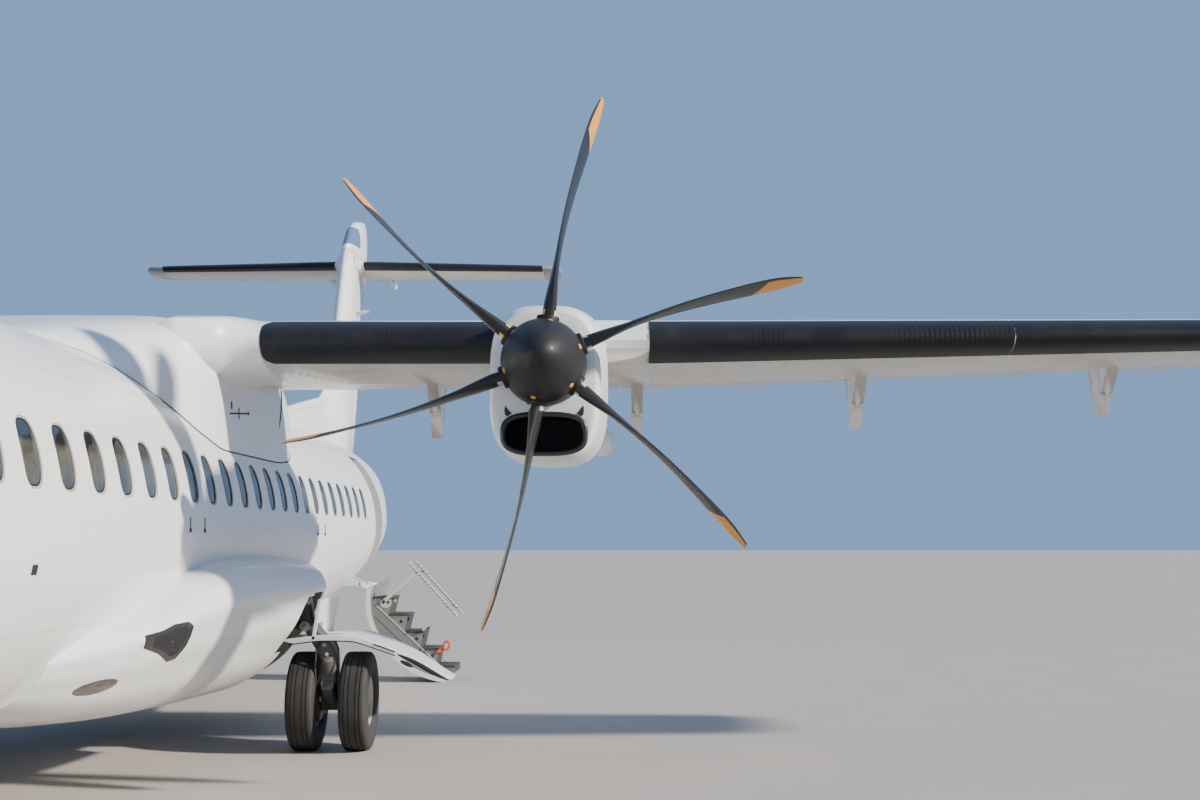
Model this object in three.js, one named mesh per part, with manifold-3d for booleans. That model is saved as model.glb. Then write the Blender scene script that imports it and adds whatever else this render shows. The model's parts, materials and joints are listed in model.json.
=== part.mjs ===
// Twin turboprop airliner with a high wing and a T tail, parked on its landing gear.
// Units are millimetres. The nose points to -Y, the port side is +X, and +Z is up from the ground.
import * as THREE from 'three';
import { mergeVertices } from 'three/addons/utils/BufferGeometryUtils.js';
import Module from 'manifold-3d';

const wasm = await Module();
wasm.setup();

// Driving dimensions. A station is a distance aft of the nose tip.
const LENGTH = 27166;
const HALF_SPAN = 13525;
const TAILPLANE_HALF_SPAN = 3655;
const ENGINE_OUT = 4050;
const ENGINE_HEIGHT = 3130;
const PROPELLER_STATION = 9630;
const PROPELLER_RADIUS = 1965;
const BLADE_COUNT = 6;
const MAIN_GEAR_STATION = 12500;
const MAIN_GEAR_OUT = 2065;
const MAIN_TYRE_RADIUS = 432;
const NOSE_GEAR_STATION = 1730;
const NOSE_TYRE_RADIUS = 225;

const SEAM = 0.3; // between fixed pieces that lie face to face
const CLEAR = 8; // round a moving panel
const TRIM = 20; // how far a cutting block stands outside what it cuts

const WHITE = 0xeeeeea;
const BLACK = 0x17181a;
const GREY = 0x8d9093;
const DARK_METAL = 0x3a3b3d;
const STEEL = 0xb9bcbf;
const CREAM = 0xc9bfa6;
const GLASS = 0x1c2328;

const aft = (station) => station - LENGTH / 2;
const lerp = (a, b, t) => a + (b - a) * t;
const power = (value, exponent) => Math.sign(value) * Math.abs(value) ** exponent;

const airliner = new THREE.Group();

function add(name, geometry, colour, roughness = 0.35, metalness = 0) {
  const material = new THREE.MeshStandardMaterial({ color: colour, roughness, metalness });
  const mesh = new THREE.Mesh(geometry, material);
  mesh.name = name;
  airliner.add(mesh);
}

// A row of a table at any value of its first column, with the other columns in proportion.
function rowAt(table, value) {
  const last = table.length - 1;
  let k = 0;
  while (k < last - 1 && table[k + 1][0] < value) k += 1;
  const t = (value - table[k][0]) / (table[k + 1][0] - table[k][0]);
  return table[k].map((entry, column) => (column ? lerp(entry, table[k + 1][column], t) : value));
}

function rowsBetween(table, from, to) {
  const inside = table.filter((row) => row[0] > from && row[0] < to);
  return [rowAt(table, from), ...inside, rowAt(table, to)];
}

// The triangles that close one end of a loft, in the order of the ring's points.
function capTriangles(ring) {
  const extent = [0, 1, 2].map((axis) => {
    const values = ring.map((point) => point[axis]);
    return Math.max(...values) - Math.min(...values);
  });
  const dropped = extent.indexOf(Math.min(...extent));
  const [u, v] = [0, 1, 2].filter((axis) => axis !== dropped);
  const outline = ring.map((point) => new THREE.Vector2(point[u], point[v]));
  const turn = Math.sign(THREE.ShapeUtils.area(outline));
  return THREE.ShapeUtils.triangulateShape(outline, []).map(([a, b, c]) => {
    const area = THREE.ShapeUtils.area([outline[a], outline[b], outline[c]]);
    return Math.sign(area) === turn ? [a, b, c] : [a, c, b];
  });
}

// A closed solid through rings of points, which all have the same number of points.
function loft(rings) {
  const count = rings[0].length;
  const faces = [];
  rings.slice(1).forEach((ring, k) => {
    for (let i = 0; i < count; i += 1) {
      const [a, b] = [k * count + i, k * count + ((i + 1) % count)];
      faces.push([a, b, b + count], [a, b + count, a + count]);
    }
  });
  const end = (rings.length - 1) * count;
  capTriangles(rings[0]).forEach(([a, b, c]) => faces.push([a, c, b]));
  capTriangles(rings[rings.length - 1]).forEach(([a, b, c]) => faces.push([a + end, b + end, c + end]));
  return solidFrom(rings.flat(), faces);
}

function solidFrom(points, faces) {
  const corner = (index) => new THREE.Vector3(...points[index]);
  const volume = faces.reduce((sum, [a, b, c]) => sum + corner(a).dot(corner(b).cross(corner(c))), 0);
  const outward = volume > 0 ? faces : faces.map(([a, b, c]) => [a, c, b]);
  const mesh = new wasm.Mesh({
    numProp: 3,
    vertProperties: new Float32Array(points.flat()),
    triVerts: new Uint32Array(outward.flat()),
  });
  mesh.merge();
  return new wasm.Manifold(mesh);
}

// A three.js geometry as a solid, with its shared points merged and its empty triangles dropped.
function toSolid(geometry) {
  const bare = geometry.clone();
  bare.deleteAttribute('normal');
  bare.deleteAttribute('uv');
  const merged = mergeVertices(bare, 0.001);
  const { array } = merged.attributes.position;
  const points = Array.from({ length: array.length / 3 }, (_, i) => [...array.slice(3 * i, 3 * i + 3)]);
  const faces = [];
  for (let i = 0; i < merged.index.count; i += 3) {
    const face = [...merged.index.array.slice(i, i + 3)];
    if (new Set(face).size === 3) faces.push(face);
  }
  return solidFrom(points, faces);
}

function toGeometry(solid) {
  const { vertProperties, triVerts } = solid.simplify(0.05).getMesh();
  const geometry = new THREE.BufferGeometry();
  geometry.setAttribute('position', new THREE.BufferAttribute(new Float32Array(vertProperties), 3));
  geometry.setIndex([...triVerts]);
  return geometry;
}

const block = ([x0, x1], [y0, y1], [z0, z1]) => {
  const shape = new THREE.BoxGeometry(x1 - x0, y1 - y0, z1 - z0);
  shape.translate((x0 + x1) / 2, (y0 + y1) / 2, (z0 + z1) / 2);
  return toSolid(shape);
};

// A round bar from one point to another.
function bar(from, to, radius, sides = 16, endRadius = radius) {
  const [start, stop] = [new THREE.Vector3(...from), new THREE.Vector3(...to)];
  const length = start.distanceTo(stop);
  const shape = new THREE.CylinderGeometry(endRadius, radius, length, sides);
  shape.translate(0, length / 2, 0);
  const direction = stop.clone().sub(start).normalize();
  shape.applyQuaternion(new THREE.Quaternion().setFromUnitVectors(new THREE.Vector3(0, 1, 0), direction));
  shape.translate(...from);
  return toSolid(shape);
}

// A body of revolution about a line along X. The profile's columns are place on the line and radius.
function wheelShape(profile, sides, [x, y, z]) {
  const outline = profile.map(([place, radius]) => new THREE.Vector2(radius, place));
  const shape = new THREE.LatheGeometry(outline, sides);
  shape.rotateZ(-Math.PI / 2);
  shape.translate(x, y, z);
  return shape;
}

// A flat outline in the X-Z plane, carried from one Y to another.
function slab(outline, [y0, y1]) {
  return loft([y0, y1].map((y) => outline.map(([x, z]) => [x, y, z])));
}

// A flat outline in the Y-Z plane, carried from one X to another.
function plank(outline, [x0, x1]) {
  return loft([x0, x1].map((x) => outline.map(([y, z]) => [x, y, z])));
}

const join = (...solids) => wasm.Manifold.union(solids);

// Hinge pins have few sides, and their bores are wide enough for the pin's corners to pass.
const PIN_SIDES = 10;
const PIN = { radius: 12, reach: 40 };
const boreRadius = (radius, sides) => radius / Math.cos(Math.PI / sides) + SEAM;
const pin = (from, to) => bar(from, to, PIN.radius, PIN_SIDES);
const pinBore = (from, to) => bar(from, to, boreRadius(PIN.radius, PIN_SIDES), PIN_SIDES);

// A line with both its ends carried on by the same length.
function stretched([from, to], extra) {
  const [start, stop] = [new THREE.Vector3(...from), new THREE.Vector3(...to)];
  const step = stop.clone().sub(start).normalize().multiplyScalar(extra);
  return [start.sub(step).toArray(), stop.add(step).toArray()];
}
const mirrored = (solid, side) => (side > 0 ? solid : solid.mirror([1, 0, 0]));
const SIDES = [['port', 1], ['stbd', -1]];

// Fuselage skin: station, half width, bottom, height of the widest point, top
const FUSELAGE = [
  [0, 60, 1400, 1460, 1520],
  [80, 230, 1235, 1460, 1640],
  [260, 420, 1070, 1470, 1790],
  [550, 620, 910, 1500, 1960],
  [1000, 850, 770, 1550, 2140],
  [1450, 1010, 690, 1610, 2330],
  [2000, 1150, 640, 1700, 2760],
  [2600, 1280, 615, 1790, 3090],
  [3300, 1380, 605, 1870, 3280],
  [4200, 1432, 600, 1940, 3350],
  [15600, 1432, 600, 1955, 3360],
  [16600, 1432, 690, 1970, 3360],
  [17600, 1430, 810, 1990, 3360],
  [19100, 1415, 1000, 2020, 3360],
  [20500, 1330, 1240, 2090, 3350],
  [22000, 1120, 1600, 2250, 3330],
  [23500, 860, 1980, 2430, 3290],
  [25000, 560, 2310, 2620, 3210],
  [26300, 300, 2560, 2770, 3110],
  [27000, 150, 2690, 2840, 3010],
  [LENGTH, 60, 2760, 2850, 2940],
];
const FUSELAGE_SIDES = 32;
const FUSELAGE_FULLNESS = 2.1;
const PANEL_BREAKS = { radome: 1000, cockpit: 3900, forward: 8950, centre: 16600, rear: 22000 };

function superellipse(sides, fullness, [x, y, z], half, below, above) {
  return Array.from({ length: sides }, (_, i) => {
    const angle = (2 * Math.PI * i) / sides;
    const rise = power(Math.sin(angle), 2 / fullness);
    return [x + half * power(Math.cos(angle), 2 / fullness), y, z + rise * (rise > 0 ? above : below)];
  });
}

function fuselage(from, to, grow = 0) {
  return loft(rowsBetween(FUSELAGE, from, to).map(([station, half, bottom, middle, top]) => superellipse(
    FUSELAGE_SIDES, FUSELAGE_FULLNESS, [0, aft(station), middle],
    half + grow, middle - bottom + grow, top - middle + grow,
  )));
}

// Openings in the skin: front station, rear station, sill, head, side of the aeroplane
const CARGO_DOORWAY = [3960, 5235, 1180, 2710];
const STAIR_DOORWAY = [19080, 19900, 1400, 2970];
const SERVICE_DOORWAY = [19150, 19760, 1450, 2670];
const DOOR_THICKNESS = 60;
const CARGO_RECESS_INNER = 250;
const VESTIBULE_INNER = -900;
const BEYOND = 1600; // farther out than the widest skin
const DOOR_CUT_INNER = 300; // inner end of the block that cuts a door from the skin

const opening = ([front, rear, sill, head], [x0, x1], gap) => block(
  [x0, x1], [aft(front) - gap, aft(rear) + gap], [sill - gap, head + gap],
);

// A door as thick as the wall, or with a gap the hole that it fits.
function doorPanel(doorway, side, gap = 0) {
  const [front, rear] = doorway;
  const skin = fuselage(front - 2 * TRIM, rear + 2 * TRIM, gap ? TRIM : 0);
  const lining = fuselage(front - 3 * TRIM, rear + 3 * TRIM, -DOOR_THICKNESS - gap);
  const span = side > 0 ? [DOOR_CUT_INNER, BEYOND] : [-BEYOND, -DOOR_CUT_INNER];
  return skin.intersect(opening(doorway, span, gap)).subtract(lining);
}

// Airstair door. It is modelled shut, then turned down about its hinge to the ground.
const STAIR_HINGE = {
  out: 1200, height: 1280, inset: 150, width: 36, eye: 26, lug: 30, slack: 3, room: 400,
};
const STAIR_OPEN = 144.5; // degrees from shut
const ARM = [[850, 1250], [1000, 1384], [1195, 1304], [1195, 1256]];
const LUG = [[1050, 1404], [1120, 1480], [1224, 1290], [1176, 1270]];

// Below the sill the fuselage holds two arms with a pin, and the door a lug beside each.
function stairHinges() {
  const { out, height, inset, width, eye, lug, slack, room } = STAIR_HINGE;
  const [front, rear, sill] = STAIR_DOORWAY;
  const below = block([0, BEYOND], [aft(front) - room, aft(rear) + room], [sill - room, sill]);
  const skin = fuselage(front - TRIM, rear + TRIM, CLEAR).intersect(below);
  const bore = boreRadius(PIN.radius, PIN_SIDES);
  const rod = (y0, y1, size, sides = 12) => bar([out, y0, height], [out, y1, height], size, sides);
  return [[aft(front) + inset, 1], [aft(rear) - inset, -1]].map(([y, inward]) => {
    const span = (from, to) => [y + inward * from, y + inward * to].sort((a, b) => a - b);
    const beside = [width + slack, width + slack + lug];
    return {
      arm: join(
        slab(ARM, span(0, width)), rod(...span(0, width), eye),
        rod(...span(width / 2, width + slack + lug), PIN.radius, PIN_SIDES),
      ),
      lug: join(slab(LUG, span(...beside)), rod(...span(...beside), eye)).subtract(skin)
        .subtract(rod(...span(width, width + 2 * slack + lug), bore, PIN_SIDES)),
    };
  });
}

// Hinge along the cargo door's head: one barrel on the door between two on the fuselage, pinned at each end
const CARGO_HINGE = {
  out: 1227, height: 2714, radius: 14, foot: 60, outside: 30, inside: 60, pin: 6, reach: 40,
};

function cargoHinge() {
  const { out, height, radius, foot, outside, inside, reach } = CARGO_HINGE;
  const rod = (y0, y1, size, sides = 12) => bar([out, y0, height], [out, y1, height], size, sides);
  const [front, rear] = CARGO_DOORWAY;
  const ends = [[aft(front), 1], [aft(rear), -1]];
  const lengths = (extra) => ends.map(([y, inward]) => [y - inward * outside, y + inward * (inside + extra)]);
  const barrels = (size, extra) => join(...lengths(extra).map(([from, to]) => rod(from, to, size)));
  const feet = lengths(0).map((length) => (
    block([out - foot, out], length.sort((a, b) => a - b), [height + CLEAR, height + radius])
  ));
  const [y0, y1] = ends.map(([y, inward]) => y + inward * (inside + SEAM));
  const middle = (size, extra) => rod(y0 - extra, y1 + extra, size);
  const pins = (size, extra) => rod(y0 - reach - extra, y1 + reach + extra, size, PIN_SIDES);
  return {
    barrels: join(barrels(radius, 0), ...feet).subtract(pins(boreRadius(CARGO_HINGE.pin, PIN_SIDES), SEAM)),
    barrelSpace: barrels(radius + CLEAR, CLEAR),
    middle: join(middle(radius, 0), pins(CARGO_HINGE.pin, 0)),
    middleSpace: middle(radius + CLEAR, CLEAR),
  };
}

const NOSE_BAY = { half: 230, front: 1180, rear: 2250, top: 1150 };
const WHEEL_BAY = { front: 11950, rear: 13130, inner: 950, outer: 2200, top: 1400 };

function buildFuselage() {
  const { radome, cockpit, forward, centre, rear } = PANEL_BREAKS;
  const noseBay = block(
    [-NOSE_BAY.half, NOSE_BAY.half], [aft(NOSE_BAY.front), aft(NOSE_BAY.rear)], [300, NOSE_BAY.top],
  );
  add('radome', toGeometry(fuselage(0, radome)), WHITE);
  add('cockpit_section', toGeometry(fuselage(radome + SEAM, cockpit).subtract(noseBay)), WHITE);
  const hold = opening(CARGO_DOORWAY, [CARGO_RECESS_INNER, BEYOND], CLEAR);
  const hinge = cargoHinge();
  const forwardShell = fuselage(cockpit + SEAM, forward).subtract(hold).subtract(hinge.middleSpace);
  add('forward_fuselage', toGeometry(join(forwardShell, hinge.barrels)), WHITE);
  add('centre_fuselage', toGeometry(fuselage(forward + SEAM, centre)), WHITE);
  const vestibule = opening(STAIR_DOORWAY, [VESTIBULE_INNER, BEYOND], CLEAR);
  const serviceHole = doorPanel(SERVICE_DOORWAY, -1, SEAM);
  const rearShell = fuselage(centre + SEAM, rear).subtract(vestibule).subtract(serviceHole);
  add('rear_fuselage', toGeometry(join(rearShell, ...stairHinges().map(({ arm }) => arm))), WHITE);
  add('tail_cone', toGeometry(fuselage(rear + SEAM, LENGTH)), WHITE);
  const cargoDoor = join(doorPanel(CARGO_DOORWAY, 1).subtract(hinge.barrelSpace), hinge.middle);
  add('cargo_door', toGeometry(cargoDoor), WHITE);
  add('service_door', toGeometry(doorPanel(SERVICE_DOORWAY, -1)), WHITE);
}

// Windscreen band seen from the side: station and height of its corners
const WINDSCREEN = [[1420, 2250], [1560, 2160], [2750, 2330], [2750, 2620], [2420, 2900], [2080, 2860]];
const GLASS_PROUD = 8;
const GLASS_STATIONS = [1100, 3400];

function buildWindscreen() {
  const outline = WINDSCREEN.map(([station, height]) => [aft(station), height]);
  const band = plank(outline, [-BEYOND, BEYOND]);
  const [front, rear] = GLASS_STATIONS;
  const shell = fuselage(front, rear, GLASS_PROUD).subtract(fuselage(front - TRIM, rear + TRIM, SEAM));
  add('windscreen', toGeometry(shell.intersect(band)), GLASS, 0.08);
}

// Airfoil from nose to tail: place along the chord, thickness, camber, all as parts of the chord
const AIRFOIL = [
  [0, 0, 0], [0.0125, 0.31, 0.1], [0.05, 0.58, 0.3], [0.13, 0.84, 0.6], [0.28, 1, 0.92],
  [0.45, 0.93, 1], [0.62, 0.7, 0.85], [0.8, 0.4, 0.5], [1, 0.03, 0],
];

const TRAILING_EDGE = 0.015; // half its thickness, as a part of the greatest thickness
const COVE_TAIL = 400; // how far a cove is carried on behind the wing, to cut it open

// A ring of an airfoil between two places on its chord. Thickness and droop are lengths.
function airfoilRing({ lead, chord, thick, camber, droop }, [from, to], grow, place) {
  const rows = rowsBetween(AIRFOIL, from, to);
  const point = ([along, depth, bend], side) => {
    const run = lead + along * chord + (along <= 0 ? -grow : 0) + (along >= 1 ? grow : 0);
    return place(run, chord * camber * bend + side * ((thick * depth) / 2 + grow) - droop * along);
  };
  const upper = rows.map((row) => point(row, 1));
  const lower = rows.map((row) => point(row, -1)).reverse();
  return [...upper, ...lower];
}

// Wing: distance out, leading station, chord, height of the nose, thickness, droop of the trailing edge
const WING = [
  [0, 11220, 2570, 3490, 463, 149],
  [4900, 11220, 2570, 3490, 463, 149],
  [13100, 11640, 1640, 3627, 251, 16],
  [13400, 11800, 1330, 3635, 173, 13],
  [HALF_SPAN, 12020, 900, 3642, 90, 9],
];
const WING_CAMBER = 0.0227;

const wingSection = ([, lead, chord, , thick, droop]) => ({ lead, chord, thick, camber: WING_CAMBER, droop });
const wingPlace = ([out, , , height]) => (run, rise) => [out, aft(run), height + rise];

function wingRing(row, chordPart = [0, 1], grow = 0) {
  return airfoilRing(wingSection(row), chordPart, grow, wingPlace(row));
}

function wingSolid(from, to, chordPart, grow) {
  return loft(rowsBetween(WING, from, to).map((row) => wingRing(row, chordPart, grow)));
}

// The centre section has one chord from side to side, so its two end rings make it.
function wingCentre(half, grow) {
  const [, ...section] = rowAt(WING, half);
  return loft([-half, half].map((out) => wingRing([out, ...section], [0, 1], grow)));
}

// Flaps: name, inner end, outer end, the two places that set the hinge line, gap at the ends
const FLAPS = [
  ['flap_inner', 1480, 3520, 1480, 3520, 8],
  ['flap_outer', 4640, 9600, 4780, 9140, 26],
];
const FLAP_CUT = 0.72;
const AILERON = { inner: 9740, outer: 13080, hinge: 0.76 };
// Flap hinge fairings under the wing: panel, distance out, height of the tip
const HINGE_FAIRINGS = [
  ['flap_inner', 2885, 2820],
  ['flap_outer', 4780, 2805], ['flap_outer', 6840, 2900], ['flap_outer', 9140, 3025],
];
// Places on the chord where a fairing starts and ends under the wing, and where its tip does
const FAIRING = {
  halfWidth: 52, start: 0.6, end: 0.9, tipFront: 0.79, tipRear: 0.825, tipRise: 30, bite: 25,
};
const FLAP_HINGE = { part: 0.725, drop: 0.178 }; // place on the chord and depth below the nose, in chords
const KNUCKLE = { radius: 30, tongue: 20, slack: 3 }; // eye of a flap hinge, half width of its tongue
const FULL_HEIGHT = [2000, 5000];
const BEHIND_WING = 15000; // a station behind the trailing edge

function flapPocket(inner, outer) {
  const cut = (out) => rowAt(WING, out)[1] + rowAt(WING, out)[2] * FLAP_CUT;
  const edge = [[inner, cut(inner)], [outer, cut(outer)], [outer, BEHIND_WING], [inner, BEHIND_WING]];
  return loft(FULL_HEIGHT.map((z) => edge.map(([x, station]) => [x, aft(station), z])));
}

const NOSE_ARC = [-80, -60, -40, -20, 0, 20, 40, 60, 80];

// The section of a control surface with a round nose on its hinge line, or of the cove that it turns in.
function panelRing({ lead, chord, thick, camber, droop }, hinge, gap, place) {
  const [, depth, bend] = rowAt(AIRFOIL, hinge);
  const radius = (thick * depth) / 2 + gap;
  const middle = chord * camber * bend - droop * hinge;
  const nose = NOSE_ARC.map((degrees) => {
    const angle = THREE.MathUtils.degToRad(degrees);
    return place(lead + hinge * chord - radius * Math.cos(angle), middle + radius * Math.sin(angle));
  });
  const tail = gap ? COVE_TAIL : 0;
  const half = thick * TRAILING_EDGE + gap;
  const stern = lead + chord + tail;
  return [...nose, place(stern, half + tail - droop), place(stern, -half - tail - droop)];
}

const aileronSolid = (gap) => loft(rowsBetween(WING, AILERON.inner - gap, AILERON.outer + gap).map((row) => (
  panelRing(wingSection(row), AILERON.hinge, gap, wingPlace(row))
)));

function aileronHinge(row) {
  const { lead, chord, camber, droop } = wingSection(row);
  const bend = rowAt(AIRFOIL, AILERON.hinge)[2];
  return wingPlace(row)(lead + AILERON.hinge * chord, chord * camber * bend - droop * AILERON.hinge);
}

const AILERON_LINE = [AILERON.inner, AILERON.outer].map((out) => aileronHinge(rowAt(WING, out)));

const flapHinge = ([out, lead, chord, height]) => (
  [out, aft(lead + FLAP_HINGE.part * chord), height - FLAP_HINGE.drop * chord]
);

// The stretch of a flap's hinge line that lies within a half width of a place on the wing.
function flapLine(panel, out, half) {
  const [, , , near, far] = FLAPS.find(([name]) => name === panel);
  const [start, stop] = [near, far].map((place) => flapHinge(rowAt(WING, place)));
  return [out - half, out + half].map((place) => {
    const part = (place - near) / (far - near);
    return start.map((value, axis) => lerp(value, stop[axis], part));
  });
}

// A point just above the wing's lower skin, at a place on the chord.
function underside([, lead, chord, height, thick, droop], part) {
  const [, depth, bend] = rowAt(AIRFOIL, part);
  const skin = height + chord * WING_CAMBER * bend - (thick * depth) / 2 - droop * part;
  return [aft(lead + part * chord), skin + FAIRING.bite];
}

// A fairing in two parts, front on the wing and rear on the flap, held by a tongue between two cheeks
function fairingParts([panel, out, tip]) {
  const row = rowAt(WING, out);
  const [, lead, chord] = row;
  const { halfWidth, start, end, tipFront, tipRear, tipRise } = FAIRING;
  const { radius, tongue, slack } = KNUCKLE;
  const [, y, z] = flapLine(panel, out, 0)[0];
  const roof = underside(row, FLAP_HINGE.part)[1];
  const front = [underside(row, start), [y - CLEAR, roof], [y - CLEAR, z]];
  const rear = [
    [y + CLEAR, roof], underside(row, end), [aft(lead + tipRear * chord), tip + tipRise],
    [aft(lead + tipRear * chord) - tipRise, tip], [aft(lead + tipFront * chord), tip], [y + CLEAR, z],
  ];
  const stem = [
    [y, z - tongue], [y, z + 2.5 * radius], [y - 2 * radius, z + 2.5 * radius],
    [y - 2 * radius, z + 2 * radius], [y - tongue, z - tongue],
  ];
  const width = [out - halfWidth, out + halfWidth];
  const eye = (half, size) => bar(...flapLine(panel, out, half), size, 12);
  return {
    front: join(
      plank(front, width).subtract(eye(halfWidth + TRIM, radius + CLEAR)),
      plank(stem, [out - tongue, out + tongue]), eye(tongue, radius), pin(...flapLine(panel, out, halfWidth)),
    ),
    rear: join(plank(rear, width), eye(halfWidth, radius))
      .subtract(eye(tongue + slack, radius + CLEAR))
      .subtract(pinBore(...flapLine(panel, out, halfWidth + TRIM))),
  };
}

const WING_BREAK = 4890;
const WING_STATIONS = [10000, 15000]; // the fuselage under the wing

function buildWing() {
  const pockets = join(...FLAPS.map(([, inner, outer, , , gap]) => flapPocket(inner - gap, outer + gap)));
  const blades = (isHere) => HINGE_FAIRINGS.filter(isHere).map((row) => fairingParts(row).front);
  const bothSides = (solid) => join(solid, solid.mirror([1, 0, 0]));
  const inboard = blades(([, out]) => out < WING_BREAK);
  const centre = join(wingCentre(WING_BREAK, 0).subtract(bothSides(pockets)), bothSides(join(...inboard)));
  add('wing_centre_section', toGeometry(centre.subtract(fuselage(...WING_STATIONS, SEAM))), WHITE);
  const outboard = blades(([, out]) => out > WING_BREAK);
  const outer = join(wingSolid(WING_BREAK + SEAM, HALF_SPAN).subtract(pockets), ...outboard)
    .subtract(aileronSolid(CLEAR))
    .subtract(pinBore(...stretched(AILERON_LINE, PIN.reach + SEAM)));
  const aileron = join(aileronSolid(0), pin(...stretched(AILERON_LINE, PIN.reach)));
  SIDES.forEach(([side, sign]) => {
    add(`outer_wing_${side}`, toGeometry(mirrored(outer, sign)), WHITE);
    add(`aileron_${side}`, toGeometry(mirrored(aileron, sign)), WHITE);
    FLAPS.forEach(([name, from, to]) => {
      const panel = wingSolid(from, to, [FLAP_CUT + 2 * (FLAP_HINGE.part - FLAP_CUT), 1]);
      const arms = HINGE_FAIRINGS.filter(([owner]) => owner === name).map((row) => fairingParts(row).rear);
      add(`${name}_${side}`, toGeometry(mirrored(join(panel, ...arms), sign)), WHITE);
    });
  });
}

// Fairing that carries the wing on the fuselage: station, half width, base, crown, fullness
const WING_FAIRING = [
  [9700, 420, 3000, 3375, 2.2],
  [10150, 900, 2900, 3480, 2.6],
  [10500, 1080, 2760, 3560, 3.2],
  [11000, 1230, 2600, 3655, 4.5],
  [11600, 1290, 2520, 3745, 5],
  [13400, 1290, 2500, 3765, 5],
  [14150, 1270, 2530, 3700, 4.5],
  [15000, 1080, 2760, 3600, 3.2],
  [16200, 740, 3000, 3450, 2.4],
  [17200, 420, 3000, 3360, 2.2],
];
// Fillet between the fairing's wall and the wing: distance out, how far it stands off the wing
const ROOT_FILLET = [[1100, 260], [1290, 150], [1380, 80], [1480, 35], [1620, 4]];
const ROOT_FILLET_END = 0.7; // its rear end as a part of the wing's chord
const ROOT_FILLET_REACH = 1700;
// Lower edge of the fillet seen from the side, from its rear end forward: station, height
const FILLET_EDGE = [[13100, 3285], [12000, 2990], [10800, 2990]];
const HOOD = { sides: 22, sunk: 200, seat: [8600, 17600], wingSeat: 1900 };

const hood = (grow) => loft(WING_FAIRING.map(([station, half, base, crown, fullness]) => superellipse(
  HOOD.sides, fullness, [0, aft(station), base], half + grow, HOOD.sunk, crown - base + grow,
)));

function buildWingFairing() {
  const chordPart = [0, ROOT_FILLET_END];
  const fillet = loft(ROOT_FILLET.map(([out, grow]) => wingRing(rowAt(WING, out), chordPart, grow)));
  const [[rear], [front]] = [FILLET_EDGE[0], FILLET_EDGE[FILLET_EDGE.length - 1]];
  const crown = rowsBetween(WING_FAIRING, front, rear).map(([station, , , top]) => [station, top]);
  const side = [...crown, ...FILLET_EDGE].map(([station, height]) => [aft(station), height]);
  const room = plank(side, [-ROOT_FILLET_REACH, ROOT_FILLET_REACH]);
  const fillets = join(fillet, fillet.mirror([1, 0, 0])).intersect(room);
  const seat = join(fuselage(...HOOD.seat, SEAM), wingCentre(HOOD.wingSeat, SEAM));
  add('wing_fairing', toGeometry(join(hood(0), fillets).subtract(seat)), WHITE);
}

// Belly fairing with the two gear bulges: station, half width, bottom, height of the widest point, top
const BELLY = [
  [8000, 1150, 760, 1100, 1250],
  [8700, 1430, 640, 1180, 1340],
  [9300, 1590, 580, 1270, 1450],
  [10000, 1710, 545, 1370, 1630],
  [11000, 1900, 525, 1420, 1705],
  [11900, 2000, 520, 1430, 1710],
  [12500, 1980, 520, 1430, 1710],
  [13130, 1850, 525, 1420, 1705],
  [14000, 1690, 545, 1400, 1700],
  [15000, 1520, 590, 1350, 1590],
  [16300, 1280, 690, 1280, 1420],
  [17300, 1050, 870, 1250, 1330],
];
// Half of its section from the keel up: part of the half width, part of the depth below or height above
const BELLY_SECTION = [
  [0.35, -1], [0.62, -0.93], [0.73, -0.82], [0.82, -0.67], [0.88, -0.5], [0.935, -0.34], [0.97, -0.18],
  [1, 0], [0.98, 0.42], [0.92, 0.72], [0.8, 0.92], [0.55, 1],
];

const BELLY_SEAT = [7500, 17800];
const BELOW_BELLY = 300;

function buildBellyFairing() {
  const hull = loft(BELLY.map(([station, half, bottom, widest, top]) => {
    const port = BELLY_SECTION.map(([out, rise]) => (
      [out * half, aft(station), widest + rise * (rise < 0 ? widest - bottom : top - widest)]
    ));
    return [...port, ...port.map(([x, y, z]) => [-x, y, z]).reverse()];
  }));
  const { front, rear, inner, outer, top } = WHEEL_BAY;
  const bay = block([inner, outer], [aft(front), aft(rear)], [BELOW_BELLY, top]);
  const bays = join(bay, bay.mirror([1, 0, 0]));
  const seat = fuselage(...BELLY_SEAT, SEAM);
  add('belly_fairing', toGeometry(hull.subtract(join(seat, bays))), WHITE);
}

// Nacelle: station, half width, bottom, top
const NACELLE = [
  [9870, 385, 2440, 3530],
  [9960, 407, 2420, 3575],
  [10500, 437, 2432, 3655],
  [11300, 462, 2445, 3755],
  [12200, 455, 2500, 3785],
  [13000, 420, 2670, 3650],
  [13800, 330, 2940, 3420],
  [14250, 180, 3110, 3310],
];
const NACELLE_FULLNESS = 3.2;
const AHEAD_OF_NACELLE = 9800;
const NACELLE_WING = 800; // half of the stretch of wing that lies in a nacelle
const ENGINE = { half: 320, bottom: 2810, top: 3250, front: 10150, rear: 12100 };
const GEARBOX = { radius: 210, front: 9910 };
const INTAKE = { half: 322, bottom: 2457, top: 2784, rear: 10400 };
// Exhaust stub low on the outboard side of each nacelle
const EXHAUST = { front: 12150, rear: 12950, out: 300, splay: 90, height: 2760, radius: 135, wall: 14 };
const SHAFT_RADIUS = 80;

const pill = (half, bottom, top, station) => superellipse(
  12, 3, [ENGINE_OUT, aft(station), (bottom + top) / 2], half, (top - bottom) / 2, (top - bottom) / 2,
);

function engineSolid() {
  const { half, bottom, top, front, rear } = ENGINE;
  const core = block([ENGINE_OUT - half, ENGINE_OUT + half], [aft(front), aft(rear)], [bottom, top]);
  const at = (station) => [ENGINE_OUT, aft(station), ENGINE_HEIGHT];
  return join(core, bar(at(GEARBOX.front), at(front + TRIM), GEARBOX.radius));
}

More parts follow.
